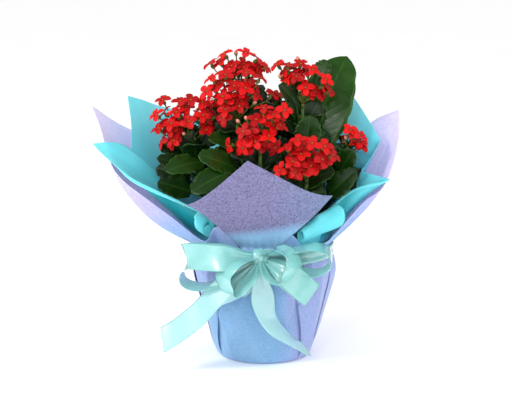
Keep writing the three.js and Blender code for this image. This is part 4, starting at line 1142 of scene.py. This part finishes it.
def flower_head(head, index):
    draw, extra = random_from(100 + index), random_from(500 + index)
    root = np.array(head["root"], dtype=float)
    bud_places = [front_place(head, seen) for seen in head.get("buds", [])]
    if "florets" in head:
        places = [front_place(head, seen) for seen in head["florets"]]
        places.append(root + vec(-0.25 * head["size"][0], 17, 16))
    else:
        places = dome_places(root, head["toward"], BACK_FLORETS, BACK_REACH, draw)
    spins = [(90 * draw(), FLORET_RADIUS * (0.94 + 0.1 * draw())) for _ in range(2 * len(places))]
    petals, stalks, leaves = Shape(), Shape(), Shape()
    crown = root + vec(0, 0, 1)
    ends = []
    for place, (spin, radius) in zip(places + under_places(places, root, extra), spins):
        facing = unit(unit(place - root) + FACING_SPREAD * vec(extra() - 0.5, extra() - 0.5, extra() - 0.5))
        ends.append((bloom(petals, stalks, place, facing, spin, radius, extra), facing))
    for place in bud_places:
        ends.append((closed_bud(stalks, place, unit(place - root)), unit(place - root)))
    ends.sort(key=lambda end: math.atan2(end[0][2] - root[2], end[0][0] - root[0]))
    for first in range(0, len(ends), 3):
        group = ends[first : first + 3]
        fork = lerp(crown, sum(place for place, _ in group) / len(group), 0.5)
        branch = [root - vec(0, 0, 2), lerp(crown, fork, 0.5) + vec(0, 0, -1), fork]
        stalks.add(*tube_patch(branch, [1.5, 1.2, 1.0], 7), blush=0.0)
        for place, facing in group:
            bend = place - facing * 4
            twig = [fork, lerp(fork, bend, 0.6), bend, place]
            stalks.add(*tube_patch(twig, [0.8, 0.65, 0.6, 0.65], 6), blush=0.0)
        ahead = unit(fork - root)
        for hand in (1, -1):
            bract(leaves, fork, unit(np.cross(ahead, UPWARD) * hand + ahead), 6 + 4 * extra(), extra)
    foot = [root + vec(0, 0, z) for z in (-HEAD_STUB, -2, 1.5)]
    stalks.add(*tube_patch(foot, [1.8, 2.0, 1.5], 9), blush=0.0)
    petals.piece(head["name"] + "_petals", PETAL_RED, "petals", [head["name"]], PETAL)
    stalks.piece(head["name"] + "_stalks", CALYX, "leaves")
    leaves.piece(head["name"] + "_bracts", LEAF, "leaves")


# The leafy shoots. Younger leaves of each shoot that stand between the ones of the solids: place along the stem,
# foot and tip (across, up as seen from the front, depth), width and the way the upper side faces
YOUNG_LEAVES = {
    "shoot_left": [
        (0.85, (-64, 214, -10), (-93, 231, -12), 25, (0.1, -0.95, 0.3)),
        (0.85, (-60, 216, -14), (-42, 238, -14), 24, (-0.2, -0.95, 0.2)),
        (0.8, (-68, 206, -6), (-103, 215, -12), 25, (0.1, -0.9, 0.4)),
        (0.8, (-62, 208, -4), (-74, 234, 0), 25, (0.1, -0.95, 0.2)),
        (0.6, (-74, 180, -10), (-106, 192, -12), 24, (0.2, -0.9, 0.4)),
    ],
    "shoot_middle": [
        (0.85, (-14, 224, -20), (-1, 250, -14), 24, (0.1, -0.95, 0.2)),
        (0.85, (-22, 228, -10), (-44, 246, -12), 24, (-0.1, -0.95, 0.2)),
        (0.7, (-24, 200, -24), (-50, 205, -36), 26, (-0.1, -0.85, 0.5)),
    ],
    "shoot_top": [
        (0.85, (-12, 240, 16), (-4, 272, 12), 27, (0.1, -0.95, 0.2)),
        (0.85, (-16, 238, 16), (-36, 264, 14), 26, (-0.1, -0.95, 0.2)),
        (0.7, (-10, 220, 16), (14, 244, 16), 28, (0.1, -0.95, 0.3)),
    ],
    "shoot_centre": [
        (0.85, (-1, 194, -44), (13, 214, -46), 22, (0.1, -0.9, 0.3)),
        (0.85, (-6, 196, -42), (-22, 211, -44), 21, (-0.1, -0.9, 0.3)),
    ],
    "shoot_upper_right": [
        (0.7, (32, 226, 2), (12, 252, -2), 28, (-0.1, -0.95, 0.2)),
        (0.7, (36, 230, 4), (54, 258, 0), 28, (0.1, -0.95, 0.2)),
        (0.6, (36, 208, -4), (62, 228, -6), 28, (0.1, -0.9, 0.4)),
    ],
    "shoot_lower_right": [
        (0.85, (26, 178, -48), (10, 194, -50), 22, (-0.1, -0.9, 0.3)),
        (0.85, (36, 184, -44), (54, 200, -46), 22, (0.1, -0.9, 0.3)),
    ],
    "shoot_far_right": [
        (0.85, (74, 192, -4), (62, 216, -8), 23, (-0.1, -0.95, 0.2)),
        (0.7, (72, 178, -8), (100, 186, -10), 24, (0.1, -0.9, 0.4)),
    ],
}
SHOOTS = [
    {
        "name": "shoot_left",
        "stands": (-22, -2),
        "crown": (-55, -5, 180),
        "turn": 100,
        "leaves": [
            (0.75, (-60, 197, -42), (-92, 188, -72), 24, (0.1, -0.75, 0.75)),
            (0.7, (-74, 190, -26), (-103, 201, -40), 19, (0.2, -0.8, 0.6)),
            (0.6, (-72, 168, -22), (-104, 178, -20), 28, (0.2, -0.8, 0.7)),
        ],
    },
    {"name": "shoot_top", "stands": (-6, 14), "crown": (-16, 14, 195), "turn": 60, "leaves": []},
    {
        "name": "shoot_middle",
        "stands": (-8, -10),
        "crown": (-18, -12, 190),
        "turn": 10,
        "leaves": [(0.8, (-26, 212, -28), (-53, 219, -48), 24, (-0.3, -0.7, 0.7))],
    },
    {
        "name": "shoot_upper_right",
        "stands": (16, 6),
        "crown": (32, 6, 190),
        "turn": 35,
        "leaves": [
            (0.7, (36, 201, 3), (82, 303, 26), 56, (-0.1, -0.95, 0.2)),
            (0.85, (31, 252, -18), (14, 271, -34), 21, (0.3, -0.8, 0.6)),
            (0.8, (40, 215, -30), (44, 242, -38), 25, (0.1, -0.95, 0.3)),
            (0.9, (53, 283, 13), (64, 299, 15), 18, (-0.2, -0.9, 0.3)),
        ],
    },
    {
        "name": "shoot_centre",
        "stands": (-2, -28),
        "crown": (-3, -42, 170),
        "turn": 0,
        "leaves": [
            (0.7, (-28, 190, -54), (-62, 203, -68), 25, (-0.2, -0.75, 0.7)),
            (0.6, (-34, 187, -66), (-68, 168, -82), 25, (-0.2, -0.85, 0.55)),
        ],
    },
    {
        "name": "shoot_lower_right",
        "stands": (16, -24),
        "crown": (30, -45, 160),
        "turn": 20,
        "leaves": [
            (0.75, (34, 174, -48), (66, 188, -64), 25, (0, -0.7, 0.75)),
            (0.55, (32, 164, -54), (58, 168, -65), 21, (0, -0.85, 0.5)),
        ],
    },
    {
        "name": "shoot_far_right",
        "stands": (32, -6),
        "crown": (66, 0, 170),
        "turn": 70,
        "leaves": [
            (0.6, (62, 166, -44), (87, 189, -60), 22, (-0.4, -0.9, 0.1)),
            (0.8, (74, 188, -18), (87, 209, -30), 23, (-0.2, -0.85, 0.4)),
        ],
    },
    {"name": "shoot_back_left", "stands": (-20, 24), "crown": (-38, 34, 180), "turn": 15, "leaves": []},
    {"name": "shoot_back_right", "stands": (8, 32), "crown": (8, 44, 185), "turn": 50, "leaves": []},
]
PAIRS = [(0.9, 46, 34), (0.6, 58, 20)]
SMALL_PAIRS = [(0.78, 40, 30), (0.45, 44, 34), (0.95, 28, 10), (0.68, 34, 50), (0.3, 40, 45)]
PETIOLE_SHARE = 0.24
TRIES = [0, 22, -22, 44, -44]
CLEARANCE = 0.6
BIG_LEAF = 40


def stem_curve(shoot, head):
    x, y = shoot["stands"]
    rx, ry, rz = head["root"]
    return Curve([(x, y, SOIL_TOP + 8), shoot["crown"], (rx, ry, rz - HEAD_STUB - 6)])


def leaf_axes(foot, tip, face):
    axis = tip - foot
    long = np.linalg.norm(axis)
    axis = axis / long
    up = unit(face - face.dot(axis) * axis)
    return axis, up, np.cross(axis, up), long


def blade_oval(t):
    """The width of a blade at t, which runs from 0 at its foot to 1 at its tip, as a share of the widest."""
    return math.sin(math.pi * (0.08 + 0.84 * min(t, 1) ** 0.85)) ** 0.75


def coarse_leaf(foot, tip, width, face, arch, scallops, grown=0, stalked=False):
    """The plain blade that the solids are made of, or a little larger, to test for room."""
    axis, up, side, long = leaf_axes(foot, tip, face)
    stations = 2 * scallops
    points = []
    for i in range(stations + 1):
        t = i / stations
        half = max(width / 2 * blade_oval(t) + (SCALLOP if i % 2 else -SCALLOP) / 2, 1.4) + grown
        rib, raised = LEAF_RIB / 2 + grown, LEAF_CUP * half
        if stalked and i == 0:
            rib, raised = PETIOLE_RADIUS * 0.8, 0
        middle = foot + axis * long * t + up * arch * long * 4 * t * (1 - t)
        for across, lift in ((-half, raised), (0, rib), (half, raised), (0, -rib)):
            points.append(middle + side * across + up * lift)
    return bvh_of(points, ring_faces(stations + 1, 4)[:-2])


def grow_leaf(shape, start, foot, tip, width, face, arch, scallops, tone, steps=36, lanes=12):
    """A fleshy leaf: rounded scallops, a sunk midrib, a soft wave along the edge and a stalk."""
    axis, up, side, long = leaf_axes(foot, tip, face)
    waves = 0.9 * min(width / 30, 1)
    corners = [(1, k) for k in range(lanes + 1)] + [(-1, k) for k in range(lanes - 1, 0, -1)]
    rings, along, across = [], [], []
    for i in range(steps + 1):
        t = 1.02 * i / steps
        blunt = math.sqrt(max(1 - (max(t - 0.9, 0) / 0.1201) ** 2, 0))
        tooth = (2 * abs(math.sin(math.pi * scallops * 1.5 * t)) ** 0.7 - 1) * SCALLOP / 2
        tooth *= smoothstep(t, 0.12, 0.4)
        half = max((width / 2 * blade_oval(t) + tooth) * blunt, 0.15)
        middle = foot + axis * long * t + up * arch * long * 4 * t * (1 - t)
        edge_wave = waves * math.sin(2 * math.pi * scallops * 0.7 * t + 5 * tone)
        for layer, k in corners:
            v = 2 * k / lanes - 1
            raised = LEAF_CUP * half * abs(v) ** 1.5 + edge_wave * abs(v) ** 3 * (1 if v > 0 else -0.7)
            groove = -0.5 * math.exp(-((v / 0.13) ** 2)) if layer == 1 else 0.0
            thick = (LEAF_RIB / 2) * (0.16 + 0.84 * (1 - abs(v) ** 1.6)) * min(half / 3, 1)
            if k in (0, lanes):
                thick = 0
            rings.append(middle + side * half * v + up * (raised + groove * min(half / 5, 1) + layer * thick))
            along.append(min(t, 1))
            across.append(v)
    shape.add(rings, ring_faces(steps + 1, 2 * lanes), along=along, across=across, tone=tone)
    inside = foot + axis * long * 0.12
    middle = lerp(start, foot, 0.5) + vec(0, 0, -0.04 * np.linalg.norm(foot - start))
    radius = min(PETIOLE_RADIUS, width * 0.06 + 0.3)
    stalk = tube_patch([start, middle, foot, inside], [radius, radius * 0.95, radius * 0.9, radius * 0.5], 8)
    shape.add(*stalk, along=0.0, across=0.3, tone=tone * 0.5 + 0.45)


def bvh_of(points, faces):
    return BVHTree.FromPolygons([tuple(p) for p in points], faces)


def cad_bvh(name):
    """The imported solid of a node, in millimetres, to keep leaves clear of it."""
    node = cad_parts[name]
    points = [tuple(Vector(vertex.co) / MM + Vector((0, 0, BASE))) for vertex in node.data.vertices]
    return BVHTree.FromPolygons(points, [tuple(face.vertices) for face in node.data.polygons])


def pair_leaves(curve, pair, turn, draw, others):
    """Two leaves of a pair, each turned a little or shortened until it is clear of what stands already."""
    along, length, rise = pair
    start = curve.at_length(along)
    found = []
    for half in (0, 180):
        base = turn + half + 20 * (draw() - 0.5)
        grown_length = length * (0.92 + 0.16 * draw())
        slope = math.radians(rise + 14 * (draw() - 0.5))
        for scale, offset in [(scale, offset) for scale in (1, 0.8) for offset in TRIES]:
            direction = polar(base + offset, math.cos(slope), math.sin(slope))
            foot = start + direction * grown_length * scale * PETIOLE_SHARE
            tip = start + direction * grown_length * scale
            width = 0.6 * grown_length * scale
            tested = coarse_leaf(foot, tip, width, UPWARD, 0.1, 3, CLEARANCE, stalked=True)
            if not any(tested.overlap(other) for other in others):
                found.append((start, foot, tip, width))
                break
    return found


def seen_place(values):
    x, seen, y = values
    return vec(x, y, height_of(seen, y))


def grow_shoots():
    curves = [stem_curve(shoot, head) for shoot, head in zip(SHOOTS, HEADS)]
    fixed = [cad_bvh(name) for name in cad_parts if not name.startswith("shoot")]
    shapes, solids = [], []
    for k, (shoot, head, curve) in enumerate(zip(SHOOTS, HEADS, curves)):
        tone_draw = random_from(k + 900)
        leaves, stem = Shape(), Shape()
        shown = []
        for along, foot_seen, tip_seen, width, facing in shoot["leaves"]:
            leaf = (seen_place(foot_seen), seen_place(tip_seen), width, np.array(facing, dtype=float))
            tone = 0.2 + 0.45 * tone_draw() if width < BIG_LEAF else 0.75
            grow_leaf(leaves, curve.at_length(along), *leaf, 0.06, 4, tone)
            shown.append(leaf)
        for along, foot_seen, tip_seen, width, facing in YOUNG_LEAVES.get(shoot["name"], []):
            leaf = (seen_place(foot_seen), seen_place(tip_seen), width, np.array(facing, dtype=float))
            grow_leaf(leaves, curve.at_length(along), *leaf, 0.08, 4, 0.1 + 0.4 * tone_draw(), 28, 10)
        x, y = shoot["stands"]
        rx, ry, rz = head["root"]
        bends = [curve.at(t) for t in np.linspace(0, 1, 26)]
        path = [vec(x, y, STEM_FOOT), *bends, vec(rx, ry, rz - HEAD_STUB)]
        radii = [lerp(STEM_RADIUS, 1.8, max(i - 1, 0) / (len(path) - 2)) for i in range(len(path))]
        stem.add(*tube_patch(path, radii, 12))
        shapes.append((leaves, stem))
        blades = [coarse_leaf(*leaf, 0.06, 4) for leaf in shown]
        solids.append([bvh_of(*tube_patch(path, radii, 6)), *blades])
    for level, pair in enumerate(PAIRS + SMALL_PAIRS):
        for k, shoot in enumerate(SHOOTS):
            # A leaf may touch its own stem, which comes first among the solids of a shoot
            others = fixed + solids[k][1:] + [bvh for own in solids[:k] + solids[k + 1 :] for bvh in own]
            draw = random_from(31 * k + level)
            tone_draw = random_from(31 * k + level + 1200)
            turn = shoot["turn"] + 90 * level
            for start, foot, tip, width in pair_leaves(curves[k], pair, turn, draw, others):
                grow_leaf(shapes[k][0], start, foot, tip, width, UPWARD, 0.1, 3, 0.15 + 0.5 * tone_draw())
                solids[k].append(coarse_leaf(foot, tip, width, UPWARD, 0.1, 3, stalked=True))
    for shoot, (leaves, stem) in zip(SHOOTS, shapes):
        leaves.piece(shoot["name"] + "_leaves", LEAF, "leaves", [shoot["name"]])
        stem.piece(shoot["name"] + "_stem", STEM, "leaves")


def soil(material):
    """Crumbly soil in the pot, up to the pot's wall."""
    columns, rows = 160, 60

    def surface(i, j):
        radius = lerp(1.0, SOIL_RADIUS, j / (rows - 1))
        x, y, _ = polar(360 * i / columns, radius, 0)
        crumbs = 2.2 * rough(x, y, 0, 14, 3.0) + 1.3 * rough(x, y, 0, 5, 4.0) + 0.7 * rough(x, y, 0, 2.2, 5.0)
        return vec(x, y, SOIL_TOP + 1.0 + crumbs - 3.5 * smoothstep(radius, 44, 57))

    under = ((SOIL_RADIUS, 80), (45, 60), (1, 60))
    lower = grid_of(columns, len(under), lambda i, j: polar(360 * i / columns, *under[j]))
    whole = np.concatenate([grid_of(columns, rows, surface), lower], axis=1)
    shape = Shape()
    shape.add(whole, grid_faces(columns, rows + len(under), ring=True))
    return shape.piece("soil_crumbs", material, "soil", ["soil"])


# The stage: floor, lights and the camera at the photograph's angle
REFLECTED_WORLD = 0.3  # how bright the room is in reflections, as a share of its light
CAMERA_DISTANCE = 1.28
CAMERA_TARGET = Vector((-0.008, 0, 0.1565))
FLOOR_HALF = 40.0  # the floor reaches past the horizon, in metres
# Name, place, power in watts and size in metres
LIGHTS = (
    ("key", (-1.4, -1.0, 1.2), 19, 0.4),
    ("front", (0.3, -2.2, 0.6), 5, 1.0),
    ("window", (-0.5, -1.8, 0.9), 6, 0.3),
    ("fill", (1.5, -0.7, 0.8), 6, 0.5),
)


def stage():
    scene = bpy.context.scene
    mesh = bpy.data.meshes.new("floor")
    corners = [(x * FLOOR_HALF, y * FLOOR_HALF, 0) for x, y in ((-1, -1), (1, -1), (1, 1), (-1, 1))]
    mesh.from_pydata(corners, [], [(0, 1, 2, 3)])
    floor = bpy.data.objects.new("floor", mesh)
    scene.collection.objects.link(floor)
    white = (1.0, 1.0, 1.0, 1.0)
    m = Material("pale floor", 0.9, Specular_IOR_Level=0.1, Emission_Strength=0.05, Emission_Color=white)
    m.colour(m.ramp(m.noise(3, 2.0), (0.3, "FAFAFA"), (0.7, "FDFDFD")))
    mesh.materials.append(m.material)
    world = bpy.data.worlds.new("studio")
    scene.world = world
    world.use_nodes = True
    background = world.node_tree.nodes["Background"]
    background.inputs["Color"].default_value = white
    rays = world.node_tree.nodes.new("ShaderNodeLightPath")
    dimmer = world.node_tree.nodes.new("ShaderNodeMapRange")
    dimmer.inputs["To Min"].default_value = 1.0
    dimmer.inputs["To Max"].default_value = REFLECTED_WORLD
    world.node_tree.links.new(rays.outputs["Is Glossy Ray"], dimmer.inputs["Value"])
    world.node_tree.links.new(dimmer.outputs["Result"], background.inputs["Strength"])
    for name, place, power, size in LIGHTS:
        data = bpy.data.lights.new(name, "AREA")
        data.energy = power
        data.size = size
        light = bpy.data.objects.new(name, data)
        light.location = place
        light.rotation_euler = (Vector((0, 0, 0.15)) - Vector(place)).to_track_quat("-Z", "Y").to_euler()
        scene.collection.objects.link(light)
    camera = bpy.data.cameras.new("camera")
    camera.lens = 90
    camera.sensor_width = 36
    seen_from = bpy.data.objects.new("camera", camera)
    back = Vector((0, -math.cos(VIEW_RISE), math.sin(VIEW_RISE)))
    seen_from.location = CAMERA_TARGET + back * CAMERA_DISTANCE
    seen_from.rotation_euler = (-back).to_track_quat("-Z", "Y").to_euler()
    scene.collection.objects.link(seen_from)
    scene.camera = seen_from
    scene.view_settings.view_transform = "Standard"


stage()
LEAF, PETAL_RED, CALYX = leaf_material(), petal_material(), calyx_material()
TURQUOISE, SATIN_MINT = turquoise_material(), ribbon_material()
STEM_STREAKS = ((0.3, "2C4A14"), (0.55, "4A6A22"), (0.75, "6E6A30"))
STEM = grained("kalanchoe stem", 0.42, (260, 3.0), STEM_STREAKS, (0.25, 0.4))
SOIL_CRUMBS = ((0.3, "160E08"), (0.5, "33241A"), (0.68, "5A4432"))
SOIL = grained("potting soil", 0.95, (420, 5.0, 0.7), SOIL_CRUMBS, (1.2, 0.9))
PLASTIC_GRAIN = ((0.3, "2E2E30"), (0.7, "424245"))
POT_PLASTIC = grained("grower's pot plastic", 0.5, (1300, 3.0), PLASTIC_GRAIN, (0.05, 0.4))
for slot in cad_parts["pot"].material_slots:
    slot.material = POT_PLASTIC

cloth = outer_sheet(outer_material())
left = turquoise_sheet("turquoise_sheet_left", LEFT_CRESTS, (227.6, -27), TURQUOISE)
right = turquoise_sheet("turquoise_sheet_right", RIGHT_CRESTS, (-38.8, 17), TURQUOISE)
front = front_sheet(front_material())
band = ribbon_band(SATIN_MINT)
bow_piece, ribbon_length = bow(SATIN_MINT)
soil(SOIL)
grow_shoots()
for number, head in enumerate(HEADS):
    flower_head(head, number)
